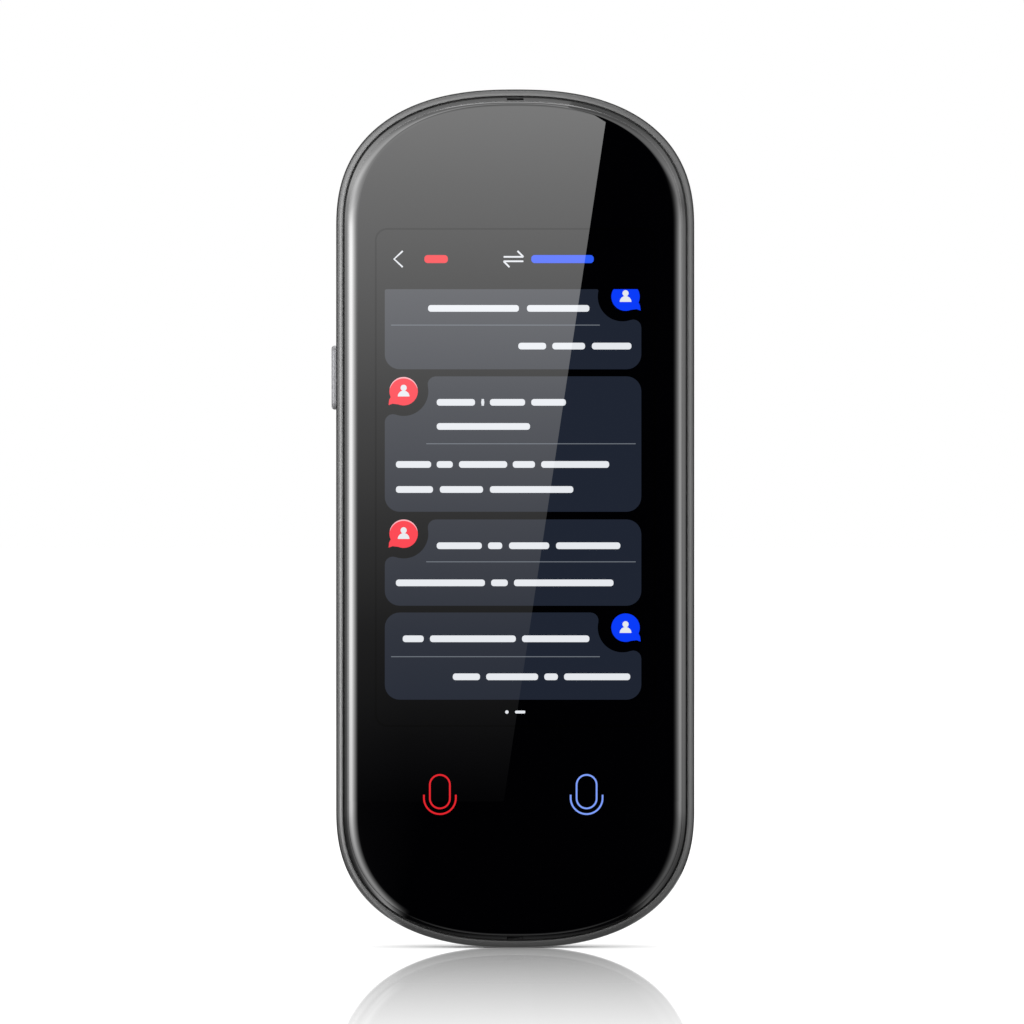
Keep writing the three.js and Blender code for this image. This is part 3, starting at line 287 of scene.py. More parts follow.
def mixShader(tree, share, first, second):
    return newNode(tree, "MixShader", {0: share, 1: first, 2: second}).outputs[0]


def bumpNormal(tree, height, strength, distance):
    inputs = {"Strength": strength, "Distance": distance * mm, "Height": height}
    return newNode(tree, "Bump", inputs).outputs["Normal"]


def dress(finish, inputs):
    # Feeds the inputs of a finish's shader.
    for key, value in inputs.items():
        feed(finish.node_tree, finish.node_tree.nodes["Principled BSDF"].inputs[key], value)
    return finish


def newGroup(name, inputs, outputs):
    # A node group with named sockets, each with its kind, and a first value for each input.
    group = bpy.data.node_groups.new(name, "ShaderNodeTree")
    for label, kind, value in inputs:
        socket = group.interface.new_socket(name=label, in_out="INPUT", socket_type="NodeSocket" + kind)
        socket.default_value = value
    for label, kind in outputs:
        group.interface.new_socket(name=label, in_out="OUTPUT", socket_type="NodeSocket" + kind)
    return group, group.nodes.new("NodeGroupInput").outputs, group.nodes.new("NodeGroupOutput").inputs


def srgb(text):
    # Written colour to the renderer's linear colour.
    values = [int(text[i:i + 2], 16) / 255 for i in (0, 2, 4)]
    return tuple(v / 12.92 if v <= 0.04045 else ((v + 0.055) / 1.055) ** 2.4 for v in values)


# Finishes

patternForm = {
    "smearScale": 90,  # of the broad noise
    "bump": {"paint": 0.05, "plain": 0.15, "rough": 0.5},
    "bumpDistance": 0.02,
    "boardScale": 420,
    "boardTrack": 0.03,  # width of the tracks, as a share of a field
    "weaveScale": 900,
    "weaveBump": (0.6, 0.05),  # strength and distance
}


def buildGrain():
    # Fine speckle of paint or moulding: two noises, fine and broad.
    # Colour = base * (1 + amount * (fine - 0.5)), roughness = base + change * (broad - 0.5).
    inputs = [
        ("Colour", "Color", (0.1, 0.1, 0.1, 1)),
        ("Size", "Float", 0.1),
        ("Amount", "Float", 0.2),
        ("Roughness", "Float", 0.4),
        ("Roughness change", "Float", 0.05),
    ]
    outputs = [("Colour", "Color"), ("Roughness", "Float"), ("Height", "Float")]
    group, given, put = newGroup("fineGrain", inputs, outputs)
    calc = partial(mathNode, group)
    place = objectPlace(group)
    scale = calc("DIVIDE", 1 / mm, given["Size"])
    fine = newNode(group, "TexNoise", {"Vector": place, "Scale": scale, "Detail": 2}).outputs["Fac"]
    broad = {"Vector": place, "Scale": patternForm["smearScale"], "Detail": 3}
    smear = calc("SUBTRACT", newNode(group, "TexNoise", broad).outputs["Fac"], 0.5)
    smear = calc("MULTIPLY", smear, given["Roughness change"])
    change = calc("MULTIPLY", calc("SUBTRACT", fine, 0.5), given["Amount"])
    feed(group, put["Colour"], dimmed(group, given["Colour"], calc("ADD", change, 1)))
    feed(group, put["Roughness"], calc("ADD", given["Roughness"], smear, clamp=True))
    feed(group, put["Height"], fine)
    return group


def buildBrush():
    # Straight rolling marks on sheet metal: noise stretched along one direction.
    inputs = [("Size", "Float", 0.1), ("Stretch", "Float", 30)]
    group, given, put = newGroup("brushLines", inputs, [("Mark", "Float")])
    scale = mathNode(group, "DIVIDE", 1 / mm, given["Size"])
    along = mathNode(group, "DIVIDE", scale, given["Stretch"])
    scales = newNode(group, "CombineXYZ", {0: scale, 1: scale, 2: along}).outputs[0]
    place = newNode(group, "VectorMath", {0: objectPlace(group), 1: scales}, operation="MULTIPLY").outputs[0]
    noise = newNode(group, "TexNoise", {"Vector": place, "Scale": 1, "Detail": 3})
    feed(group, put["Mark"], noise.outputs["Fac"])
    return group


grainGroup = buildGrain()
brushGroup = buildBrush()


def material(name, colour, roughness, metallic=0.0, ior=1.5, grain=0.1, amount=0.15, change=0.06,
             bump="plain", brushed=False):
    # One finish: the grain group feeds colour, roughness and a faint bump.
    finish = bpy.data.materials.new(name)
    finish.use_nodes = True
    tree = finish.node_tree
    values = {"Colour": colour, "Size": grain, "Amount": amount, "Roughness": roughness}
    values["Roughness change"] = change
    speckle = newNode(tree, "Group", values, node_tree=grainGroup).outputs
    height = speckle["Height"]
    if brushed:
        height = newNode(tree, "Group", node_tree=brushGroup).outputs["Mark"]
    dress(finish, {"Base Color": speckle["Colour"], "Roughness": speckle["Roughness"]})
    if bump:
        normal = bumpNormal(tree, height, patternForm["bump"][bump], patternForm["bumpDistance"])
        dress(finish, {"Normal": normal})
    return dress(finish, {"Metallic": metallic, "IOR": ior})


# colour, roughness, and what differs from a plain finish
finishValues = {
    "casePaint": ("4d4d4e", 0.31, dict(metallic=0.75, grain=0.09, amount=0.22, bump="paint")),
    "framePaint": ("5a5a5a", 0.33, dict(metallic=0.15, ior=1.3, grain=0.09, amount=0.12, bump="paint")),
    "keyPaint": ("5a5a5c", 0.5, dict(metallic=0.5, grain=0.08, amount=0.12, bump="paint")),
    "bezelBlack": ("060607", 0.06, dict(grain=0.12, amount=0.1, change=0.01, bump="paint")),
    "blackPlastic": ("19191b", 0.55, dict(ior=1.3, grain=0.12, amount=0.3)),
    "blackRubber": ("131315", 0.8, dict(grain=0.2, amount=0.3, bump="rough")),
    "greyFoam": ("2a2a2c", 0.95, dict(grain=0.3, amount=0.7, bump="rough")),
    "chipResin": ("1c1c1f", 0.5, dict(grain=0.15, amount=0.3)),
    "plainSteel": ("c2c4c7", 0.3, dict(metallic=1.0, grain=0.2, amount=0.06, brushed=True)),
    "castAlloy": ("a2a5a9", 0.45, dict(metallic=1.0, grain=0.3, amount=0.1)),
    "cellWrap": ("b9bbbe", 0.38, dict(metallic=0.7, grain=0.5, amount=0.08)),
    "amberFilm": ("b36a20", 0.4, dict(grain=0.4)),
    "goldContact": ("d9b65c", 0.28, dict(metallic=1.0, grain=0.2, amount=0.06)),
    "redWire": ("b41f1f", 0.5, dict(grain=0.2, amount=0.1)),
    "blackWire": ("151515", 0.5, dict(grain=0.2, amount=0.1)),
    "whitePanel": ("d8dadd", 0.5, dict(grain=0.3, amount=0.05)),
    "redLight": ("c8202a", 0.45, dict(grain=0.3, amount=0.1)),
    "blueLight": ("3a6fe0", 0.45, dict(grain=0.3, amount=0.1)),
    "lensRing": ("6f6c90", 0.25, dict(metallic=0.8, amount=0.1, change=0.02)),
    "darkGlass": ("0a0a0c", 0.12, dict(grain=0.5, amount=0.2, change=0.02, bump="paint")),
}
finishes = {}
for finishName, (code, roughness, more) in finishValues.items():
    finishes[finishName] = material(finishName, srgb(code), roughness, **more)


def boardMaterial():
    # Green board: copper tracks under the lacquer, drawn by a brick pattern.
    finish = material("circuitBoard", srgb("17472f"), 0.4, grain=0.2)
    tree = finish.node_tree
    turned = newNode(tree, "Mapping", {"Vector": objectPlace(tree), "Rotation": (math.pi / 2, 0, 0)})
    inputs = {"Vector": turned.outputs[0], "Scale": patternForm["boardScale"]}
    inputs["Mortar Size"] = patternForm["boardTrack"]
    for socket, code in (("Color1", "17472f"), ("Color2", "1a5236"), ("Mortar", "3f7d4c")):
        inputs[socket] = srgb(code)
    return dress(finish, {"Base Color": newNode(tree, "TexBrick", inputs).outputs["Color"]})


def meshMaterial():
    # Woven dust mesh behind the sound holes: two crossed waves, height = the higher of the two.
    finish = material("dustMesh", srgb("101012"), 0.6, amount=0.3)
    tree = finish.node_tree
    inputs = {"Vector": objectPlace(tree), "Scale": patternForm["weaveScale"]}
    waves = [newNode(tree, "TexWave", inputs, bands_direction=way).outputs["Fac"] for way in ("X", "Z")]
    weave = mathNode(tree, "MAXIMUM", *waves)
    ramp = newNode(tree, "ValToRGB", {"Fac": weave})
    for element, code in zip(ramp.color_ramp.elements, ("040405", "2c2c30")):
        element.color = (*srgb(code), 1)
    normal = bumpNormal(tree, weave, *patternForm["weaveBump"])
    return dress(finish, {"Base Color": ramp.outputs["Color"], "Normal": normal})


glassForm = {
    "frontDepth": 14.0,
    "backDepth": 12.95,
    "edgeDepth": 13.66,
    "inset": 2.03,
    "backMargin": 0.6,
    "backBevel": 0.05,
    "curveSide": 1.55,  # width of the curve along the sides
    "curveEnd": 0.5,
    "curvePower": 2.0,
    "curveSteps": 20,
    "flatMargin": 0.4,
    "edgeIor": 1.5,
    "flatIor": 1.25,  # the flat has a coat that takes most of its shine
    "coatBlend": 0.015,
    "roughness": 0.0,
    "litGrey": 0.0003,  # own colour of what is lit
}


def glassMaterial(name, colour, ior=glassForm["flatIor"]):
    # Black-backed glass: near-black below, clear mirror gloss on top, with the faintest smear.
    smear = dict(grain=4.0, amount=0.05, change=0.004, bump=None)
    return material(name, colour, glassForm["roughness"], ior=ior, **smear)


def coverMaterial():
    # The cover: coated on its flat, bare along its curved edge. The flat ends where
    # (|x| / across)^power + (max(|z| - base, 0) / up)^power = 1.
    g, c = glassForm, caseForm
    finish = glassMaterial("coverGlass", srgb("010102"))
    calc = partial(mathNode, finish.node_tree)
    axes = objectAxes(finish.node_tree)
    across = c["halfWidth"] - g["inset"] - g["curveSide"]
    up = c["capHeight"] - g["inset"] - g["curveEnd"]
    x = calc("DIVIDE", calc("ABSOLUTE", axes["X"]), across * mm)
    z = calc("SUBTRACT", calc("ABSOLUTE", axes["Z"]), c["capBase"] * mm)
    z = calc("DIVIDE", calc("MAXIMUM", z, 0), up * mm)
    past = calc("ADD", calc("POWER", x, c["capPower"]), calc("POWER", z, c["capPower"]))
    extra = calc("MULTIPLY", shareBetween(calc, past, 1, 1 + g["coatBlend"]), g["edgeIor"] - g["flatIor"])
    return dress(finish, {"IOR": calc("ADD", extra, g["flatIor"])})


def lightMaterial(name, code, ior=glassForm["flatIor"]):
    # A lit part of the picture: its colour glows, and the glass in front of it still shines.
    finish = glassMaterial(name, (glassForm["litGrey"],) * 3, ior)
    return dress(finish, {"Emission Color": srgb(code), "Emission Strength": 1.0})


finishes["circuitBoard"] = boardMaterial()
finishes["dustMesh"] = meshMaterial()
finishes["coverGlass"] = coverMaterial()
print("materials ready:", len(finishes))

# Back shell

shellForm = {
    "sideInset": 10.8,
    "endInset": 8.7,
    "rollDepth": 10.0,
    "rollPower": 2.1,
    "rollTurns": [0, 0.4, 0.8, 1.2, 1.7, 2.2, 2.8, 3.5, 4.4, 5.5, 7, 9, 11.5, *range(14, 91, 2)],  # degrees
    "rimDip": 0.6,  # how far the roll dips outside the flat
    "rimDipWidth": 3.0,
    "rimRound": 0.35,
    "wall": 1.5,
    "rimDepth": 11.0,
    "rimBevel": 0.05,
    "lipRound": 0.12,
    "flatMargin": 0.35,
    "cutPast": 1,  # how far a hole's cutter reaches past the wall
    "cameraZ": 55.5,
    "cameraHole": 4.4,
    "cameraLedge": 3.8,
    "cameraLedgeDepth": 1.1,
    "soundRadius": 0.85,
    "soundRim": 0.09,
    "soundPitch": 2.58,
    "soundRows": [(5, 17.0), (7, 20.6)],
    "soundCentreZ": 60.8,
    "portDepth": 7.02,
    "portSize": (9.34, 3.56),
    "portCut": (-72, -66),  # z of the cutter's ends
    "keyDepth": 7.55,
    "keyZ": 22.9,
    "keySize": (2.9, 10.7),
    "keyCut": (-31, -25.5),  # x of the cutter's ends
}


def rolledRows(wall, dip):
    # Roll of the back: inset = side * (1 - sin(t)^(2/power)), depth = roll * (1 - cos(t)^(2/power)),
    # plus a dip, 1 - exp(-soft / width) with soft = out^2 / (out + round), that fades towards the side.
    s = shellForm
    share = 2 / s["rollPower"]
    rows = []
    for turn in np.radians(s["rollTurns"]):
        inset = 1 - math.sin(turn) ** share
        depth = 1 - max(0.0, math.cos(turn)) ** share
        side = wall + (s["sideInset"] - wall) * inset
        end = wall + (s["endInset"] - wall) * inset
        out = s["sideInset"] - side
        soft = out ** 2 / (out + s["rimRound"])
        lost = dip * (1 - math.exp(-soft / s["rimDipWidth"])) * (1 - (1 - inset) ** 2)
        rows.append(ringAt(wall + (s["rollDepth"] - wall) * depth + lost, side, end))
    return rows


def soundPlaces():
    # Hole centres on two arcs: x = radius * sin(swing), z = centre - radius * cos(swing).
    places = []
    for count, radius in shellForm["soundRows"]:
        swing = (np.arange(count) - (count - 1) / 2) * shellForm["soundPitch"] / radius
        places += list(zip(radius * np.sin(swing), shellForm["soundCentreZ"] - radius * np.cos(swing)))
    return places


def keyRing(x, width, height, steps=14):
    # A stadium in the side wall, round the key's middle.
    ring = stadium(width, height, width / 2, steps)
    return np.insert(ring + (-shellForm["keyDepth"], shellForm["keyZ"]), 0, x, axis=1)


def portRing(z, width, height, steps=14):
    # A stadium in the end wall, round the port's middle.
    ring = stadium(width, height, height / 2, steps)
    return np.insert(ring + (0, -shellForm["portDepth"]), 2, z, axis=1)


def makeRearShell():
    s = shellForm
    wall, rim, lip, past = s["wall"], s["rimDepth"], s["lipRound"], s["wall"] + s["cutPast"]
    flat = (s["sideInset"] + s["flatMargin"], s["endInset"] + s["flatMargin"])
    rows = [ringAt(0, *flat), *rolledRows(0, s["rimDip"])]
    rows += [ringAt(rim - lip + lip * math.sin(a), lip * (1 - math.cos(a))) for a in arcRow(0, 90, 5)]
    rows += [ringAt(rim, wall - s["rimBevel"]), ringAt(rim - s["rimBevel"], wall)]
    rows += [*rolledRows(wall, 0)[::-3], ringAt(wall, *flat)]
    shell = skin("rearShellSkin", rows)
    radius, mouth = s["soundRadius"], s["soundRadius"] + s["soundRim"]
    drill = [(mouth + s["cutPast"], -s["cutPast"]), (mouth, 0), (radius, s["soundRim"]), (radius, past)]
    holes = [skin("soundHole", turnedRings(drill, place, 40), body=None) for place in soundPlaces()]
    hole, ledge, ledgeDepth = s["cameraHole"], s["cameraLedge"], s["cameraLedgeDepth"]
    drill = [(hole + s["cutPast"], -s["cutPast"]), (hole, s["rimBevel"]), (hole, ledgeDepth)]
    drill += [(ledge, ledgeDepth), (ledge, past)]
    holes.append(skin("cameraHole", turnedRings(drill, (0, s["cameraZ"])), body=None))
    holes.append(skin("portHole", [portRing(z, *s["portSize"], steps=12) for z in s["portCut"]], body=None))
    holes.append(skin("keyHole", [keyRing(x, *s["keySize"], steps=12) for x in s["keyCut"]], body=None))
    cutWith(shell, holes)
    finishPiece(shell, finishes["casePaint"])
    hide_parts("rear_shell")


makeRearShell()
print("back shell ready")

# Frame, bezel and glass

frameForm = {
    "backDepth": 11.15,
    "frontDepth": 13.4,
    "round": 1.04,
    "band": 1.1,
    "frontBevel": 0.05,
    "backBevel": 0.08,
    "ledge": (3.0, 11.9),
    "step": 10.9,
    "tongue": (2.4, 9.6, 1.65),
    "paintedShadeDepths": (12.7, 13.3),  # painted shade: the frame is darker behind the first depth
    "paintedShadeShare": 0.2,
}
bezelForm = {
    "outer": 1.42,
    "inner": 1.97,
    "innerDepth": 13.65,
    "backDepth": 12.0,
    "slope": 0.45,  # of the top, where it meets the glass
    "fall": 0.24,
    "ledge": (3.6, 12.75),
    "slot": (2.7, 0.35),
    "slotZ": 67.85,
    "pocket": (3.2, 1.85),
    "pocketDepth": 11.45,
    "pocketZ": 67.225,
    "cutPast": 1,
    "feltMargin": 0.1,
    "feltRound": 0.3,
    "feltDepths": (0.3, 0.15),  # behind the bezel's back
}


def endCutters(name, size, low, high, z):
    # Two box cutters, one at each end of the body.
    corners = np.array([(-1, -1), (1, -1), (1, 1), (-1, 1)]) * size / 2
    boxes = [[laidAt(corners + (0, side * z), depth) for depth in (low, high)] for side in (1, -1)]
    return [skin(name, rings, body=None) for rings in boxes]


def frameWithPaintedShade():
    # Painted shade: the side of the frame, the floor of the seam and the outer edge are darker than its
    # front: level = dark + (1 - dark) * smooth(depth).
    finish = finishes["framePaint"]
    tree = finish.node_tree
    start, end = frameForm["paintedShadeDepths"]
    inputs = {"From Min": -start * mm, "From Max": -end * mm, "To Min": frameForm["paintedShadeShare"]}
    inputs["Value"] = objectAxes(tree)["Y"]
    # painted shade: colour and metal fall to the dark share behind the first depth
    level = newNode(tree, "MapRange", inputs, interpolation_type="SMOOTHSTEP").outputs["Result"]
    shader = tree.nodes["Principled BSDF"]
    plain = shader.inputs["Base Color"].links[0].from_socket
    metal = mathNode(tree, "MULTIPLY", level, shader.inputs["Metallic"].default_value)
    return dress(finish, {"Base Color": dimmed(tree, plain, level), "Metallic": metal})


def makeFrame():
    f, b = frameForm, bezelForm
    bevel, front, back, bend = f["frontBevel"], f["frontDepth"], f["backDepth"], f["round"]
    inner, innerDepth, outer = f["tongue"]
    section = [(f["backBevel"], back), (0, back + f["backBevel"])]
    section += [(bend * (1 - math.cos(a)), front - bend + bend * math.sin(a)) for a in arcRow(0, 90, 19)]
    section += [(f["band"] - bevel, front), (f["band"], front - bevel), (f["band"], f["ledge"][1])]
    section += [f["ledge"], (f["ledge"][0], f["step"]), (inner, f["step"]), (inner, innerDepth)]
    section += [(outer, innerDepth), (outer, back)]
    ring = frameSkin("midFrameSkin", section)
    past = b["backDepth"] + b["cutPast"]
    cutWith(ring, endCutters("pocket", b["pocket"], b["pocketDepth"], past, b["pocketZ"]))
    finishPiece(ring, frameWithPaintedShade())
    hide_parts("mid_frame")


def makeBezel():
    # The top falls outwards from the glass: depth = inner depth - slope * v - fall * v^2.
    b = bezelForm
    section = [(b["outer"], b["backDepth"])]
    for v in np.linspace(b["inner"] - b["outer"], 0, 9):
        section.append((b["inner"] - v, b["innerDepth"] - b["slope"] * v - b["fall"] * v * v))
    section += [(b["inner"], b["ledge"][1]), b["ledge"], (b["ledge"][0], b["backDepth"])]
    ring = frameSkin("bezelSkin", section)
    past = b["cutPast"]
    cutWith(ring, endCutters("slot", b["slot"], b["backDepth"] - past, b["innerDepth"] + past, b["slotZ"]))
    finishPiece(ring, finishes["bezelBlack"])
    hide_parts("front_bezel")


def makeGlass():
    # The edge curve: depth = front - drop * (1 - share)^power, share 0 at the rim and 1 at the flat.
    g = glassForm
    inset, back, bevel = g["inset"], g["backDepth"], g["backBevel"]
    rows = [ringAt(back, inset + g["backMargin"]), ringAt(back, inset + bevel), ringAt(back + bevel, inset)]
    drop = g["frontDepth"] - g["edgeDepth"]
    for share in np.linspace(0, 1, g["curveSteps"] + 1):
        depth = g["frontDepth"] - drop * (1 - share) ** g["curvePower"]
        rows.append(ringAt(depth, inset + g["curveSide"] * share, inset + g["curveEnd"] * share))
    flat = inset + g["flatMargin"]
    rows.append(ringAt(g["frontDepth"], flat + g["curveSide"], flat + g["curveEnd"]))
    glass = skin("coverGlassSkin", rows)
    finishPiece(glass, finishes["coverGlass"])
    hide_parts("cover_glass")


def makeSlotFelt():
    # Black felt behind the sound slots.
    b = bezelForm
    wide, tall = b["pocket"]
    loop = stadium(wide - 2 * b["feltMargin"], tall - 2 * b["feltMargin"], b["feltRound"], 4)
    depths = [b["backDepth"] - behind for behind in b["feltDepths"]]
    stacks = [[laidAt(loop + (0, side * b["pocketZ"]), depth) for depth in depths] for side in (1, -1)]
    flatPiece("slotFelt", stacks, finishes["blackRubber"])


makeFrame()
makeBezel()
makeGlass()
makeSlotFelt()
print("frame, bezel and glass ready")

# Picture on the screen

picture = {
    "areaHalfWidth": 22.7,
    "areaLow": -33.7,
    "areaTop": 47.0,
    "areaCorner": 2.0,
    "bubbleLeft": -21.1,
    "bubbleRight": 20.4,
    "bubbleCorner": 2.4,
    "notchRadius": 4.0,
    "notchFillet": 1.3,
    "cutFillet": 0.25,  # where the header cuts the first card off
    "cutCorner": 0.3,
    "avatarRadius": 2.3,
    "avatarTail": [(-1.02, -0.62), (-1.06, -0.98), (-0.78, -0.88)],  # as shares of the radius
    "glintDrop": 0.22,
    # rise, radius, start, end and points of the head and the shoulders
    "person": [(0.55, 0.5, 0, 345, 20), (-0.85, 0.95, 0, 180, 16)],
    "personMargin": 0.02,  # below the edge of the first card
    "rimWidth": 0.28,
    # top, low, avatar side, avatar height, divider height
    "bubbles": [
        (37.1, 24.15, 1, 35.9, 31.3),
        (23.0, 1.1, -1, 20.6, 12.1),
        (-0.15, -14.1, -1, -2.45, -7.0),
        (-15.2, -29.3, 1, -17.65, -22.35),
    ],
    "avatarInset": 3.05,  # from the bubble's side
    "avatarShift": 0.5,  # of the right-hand ones
    "dividerEnds": {1: (-20.1, 13.7), -1: (-14.4, 19.5)},
    "dividerSize": (0.14, 0.05),  # height and corner
    "wordHeight": 1.08,
    "wordRound": 0.42,  # share of the height
    # height of each line and where its words start and end
    "lines": [
        (34.0, [(-14.1, 0.6), (1.9, 12.0)]),
        (27.9, [(0.5, 5.0), (6.0, 11.3), (12.4, 18.8)]),
        (18.8, [(-12.7, -6.5), (-5.5, -5.0), (-4.1, 1.6), (2.6, 8.2)]),
        (14.9, [(-12.7, 2.4)]),
        (8.75, [(-19.3, -13.6), (-12.7, -10.1), (-9.1, -1.3), (-0.4, 3.2), (4.2, 15.2)]),
        (4.7, [(-19.3, -13.3), (-12.2, -5.2), (-4.1, 9.4)]),
        (-4.4, [(-12.7, -5.4), (-4.4, -2.1), (-1.0, 5.5), (6.6, 17.0)]),
        (-10.4, [(-19.3, -4.9), (-3.9, -1.2), (-0.2, 15.9)]),
        (-19.45, [(-18.2, -14.8), (-13.8, 0.1), (1.1, 12.0)]),
        (-25.6, [(-10.1, -5.7), (-4.7, 3.7), (4.7, 6.9), (7.9, 18.6)]),
    ],
    "headerZ": 41.98,
    "backArrow": (-18.2, -19.6, 1.3),  # ends, tip and half height
    "arrowsX": -0.28,
    "arrowReach": 1.6,
    "arrowBarb": 0.95,
    "arrowRise": 0.36,
    "labelHeight": 1.3,
    "spokenLabel": (-14.7, -10.9),
    "heardLabel": (2.6, 12.7),
    "pageZ": -31.3,
    "pageDot": (-1.35, 0.28),  # middle and radius
    "pageBar": (-0.025, 1.625),
    "pageBarSize": (0.46, 0.2),  # height and corner
    "talkMiddle": -0.32,
    "talkHalf": 11.87,
    "talkZ": -44.18,
    "talkSize": (3.24, 5.42),
    "talkArc": (2.58, 1.05, 0.5),  # radius, drop of its middle, drop of its ends
    "stroke": 0.27,
    "talkStroke": 0.28,
}
# heights above the glass
layers = {
    "rim": (0.0, 0.002),
    "area": (0.0, 0.004),
    "bubble": (0.004, 0.012),
    "mark": (0.012, 0.02),
    "glyph": (0.02, 0.026),
}
pictureColours = {
    "wordWhite": "e6e9ee",
    "dividerGrey": "6f757e",
    "signRed": "fa3a48",
    "signPink": "ffb4bc",
    "signBlue": "0a3cf8",
    "labelRed": "f0202e",
    "labelBlue": "2c5cf5",
    "talkRed": "e4262e",
    "talkBlue": "80a0fa",
}
lights = {name: lightMaterial(name, code) for name, code in pictureColours.items()}
lights["bubbleSlate"] = lightMaterial("bubbleSlate", "1f2532", ior=1.303)
lights["screenRim"] = lightMaterial("screenRim", "000000", ior=1.227)


def layerDepths(layer):
    return [glassForm["frontDepth"] + height for height in layers[layer]]


def printedPiece(name, loops, layer, light):
    # Thin shapes on the screen, one prism per loop, in a layer above the glass.
    stacks = [[laidAt(loop, depth) for depth in layerDepths(layer)] for loop in loops]
    flatPiece(name, stacks, lights[light])


def ringPiece(name, outer, inner, layer, light, slot="cover_glass"):
    # A closed line, such as a capsule outline: an outer and an inner loop joined all round.
    low, high = layerDepths(layer)
    rings = [laidAt(outer, low), laidAt(outer, high), laidAt(inner, high), laidAt(inner, low)]
    flatPiece(name, [rings], lights[light], wrapRows=True)


def strokeSides(points, width, closed=False):
    # Both sides of a line of even width along 2D points.
    line = np.asarray(points, float)
    ahead = np.roll(line, -1, axis=0) - np.roll(line, 1, axis=0) if closed else np.gradient(line, axis=0)
    across = np.stack([-ahead[:, 1], ahead[:, 0]], axis=1)
    reach = across / np.linalg.norm(across, axis=1, keepdims=True) * width / 2
    return line + reach, line - reach


def strokeLoop(points, width):
    # The outline of such a line, cut square at its ends.
    left, right = strokeSides(points, width)
    return np.concatenate([left, right[::-1]])


def bar(ends, z, height, radius, steps=5):
    # A bar with round corners from end to end.
    left, right = ends
    return stadium(right - left, height, radius, steps) + ((left + right) / 2, z)


def pill(ends, z, height):
    return bar(ends, z, height, height * picture["wordRound"])


def mirrored(loop, side):
    # A loop drawn for the left side is turned over for the right.
    return loop[::-1] * (-1, 1) if side > 0 else loop


def bubbleLoop(top, low, side, avatarZ, isCut):
    # A rounded card with a round bite where the sign sits, drawn for a sign on the left.
    p = picture
    right = (p["bubbleRight"] - p["bubbleLeft"]) / 2
    left, corner, bite, sideFillet = -right, p["bubbleCorner"], p["notchRadius"], p["notchFillet"]
    fillet, cornerTop = (p["cutFillet"], p["cutCorner"]) if isCut else (sideFillet, corner)
    sign = np.array([left + p["avatarInset"], avatarZ])
    topZ, sideX = top - fillet, left + sideFillet
    topCentre = np.array([sign[0] + math.sqrt((bite + fillet) ** 2 - (topZ - avatarZ) ** 2), topZ])
    sideCentre = np.array([sideX, avatarZ - math.sqrt((bite + sideFillet) ** 2 - (sideX - sign[0]) ** 2)])
    toTop, toSide = (math.degrees(math.atan2(*(centre - sign)[::-1])) for centre in (topCentre, sideCentre))
    loop = np.concatenate([
        arcPoints((right - cornerTop, top - cornerTop), cornerTop, 0, 90, 8),
        arcPoints(topCentre, fillet, 90, 180 + toTop, 6),
        arcPoints(sign, bite, toTop, toSide, 24)[1:-1],
        arcPoints(sideCentre, sideFillet, 180 + toSide, 180, 6),
        arcPoints((left + corner, low + corner), corner, 180, 270, 8),
        arcPoints((right - corner, low + corner), corner, 270, 360, 8),
    ])
    return mirrored(loop, side) + ((p["bubbleRight"] + p["bubbleLeft"]) / 2, 0)


def signLoop(x, z, side):
    # A disc with a short pointed tail towards the lower outer corner.
    r = picture["avatarRadius"]
    disc = arcPoints((0, 0), r, -112, 204, 40)
    return mirrored(np.concatenate([disc, np.array(picture["avatarTail"]) * r]), side) + (x, z)


def crescentLoop(x, z):
    # The pale upper rim of a sign: two arcs of unlike centres that meet at the ends.
    r, drop = picture["avatarRadius"], picture["glintDrop"]
    outer = arcPoints((x, z), r, 15, 165, 24)
    inner = arcPoints((x, z - drop), r, 165, 15, 24)
    return np.concatenate([outer, inner])


def personLoops(x, z):
    # A plain head-and-shoulders sign.
    return [arcPoints((x, z + rise), *arc) for rise, *arc in picture["person"]]


def makeArea():
    # A thin rim round the lit area.
    p = picture
    rim, middle = p["rimWidth"], (0, (p["areaTop"] + p["areaLow"]) / 2)
    wide, tall, corner = 2 * p["areaHalfWidth"], p["areaTop"] - p["areaLow"], p["areaCorner"]
    inner = stadium(wide - 2 * rim, tall - 2 * rim, corner - rim)
    ringPiece("screenRim", stadium(wide, tall, corner) + middle, inner + middle, "rim", "screenRim")


def makeMessages():
    p = picture
    inset = p["avatarInset"]
    signX = {1: p["bubbleRight"] - inset + p["avatarShift"], -1: p["bubbleLeft"] + inset}
    cards, dividers, people, glints = [], [], [], []
    signs = {1: [], -1: []}
    for index, (top, low, side, signZ, dividerZ) in enumerate(p["bubbles"]):
        isCut = index == 0
        edge = top if isCut else math.inf
        place = (signX[side], signZ)
        cards.append(bubbleLoop(top, low, side, signZ, isCut))
        signs[side].append(np.minimum(signLoop(*place, side), (math.inf, edge)))
        people += [np.minimum(loop, (math.inf, edge - p["personMargin"])) for loop in personLoops(*place)]
        if side < 0:
            glints.append(crescentLoop(*place))
        dividers.append(bar(p["dividerEnds"][side], dividerZ, *p["dividerSize"], steps=2))
    words = [pill(word, z, p["wordHeight"]) for z, row in p["lines"] for word in row]
    printedPiece("messageCards", cards, "bubble", "bubbleSlate")
    printedPiece("messageDividers", dividers, "mark", "dividerGrey")
    printedPiece("redSigns", signs[-1], "mark", "signRed")
    printedPiece("blueSigns", signs[1], "mark", "signBlue")
    printedPiece("signGlints", glints, "glyph", "signPink")
    printedPiece("messageWords", words, "mark", "wordWhite")
    printedPiece("signPeople", people, "glyph", "wordWhite")


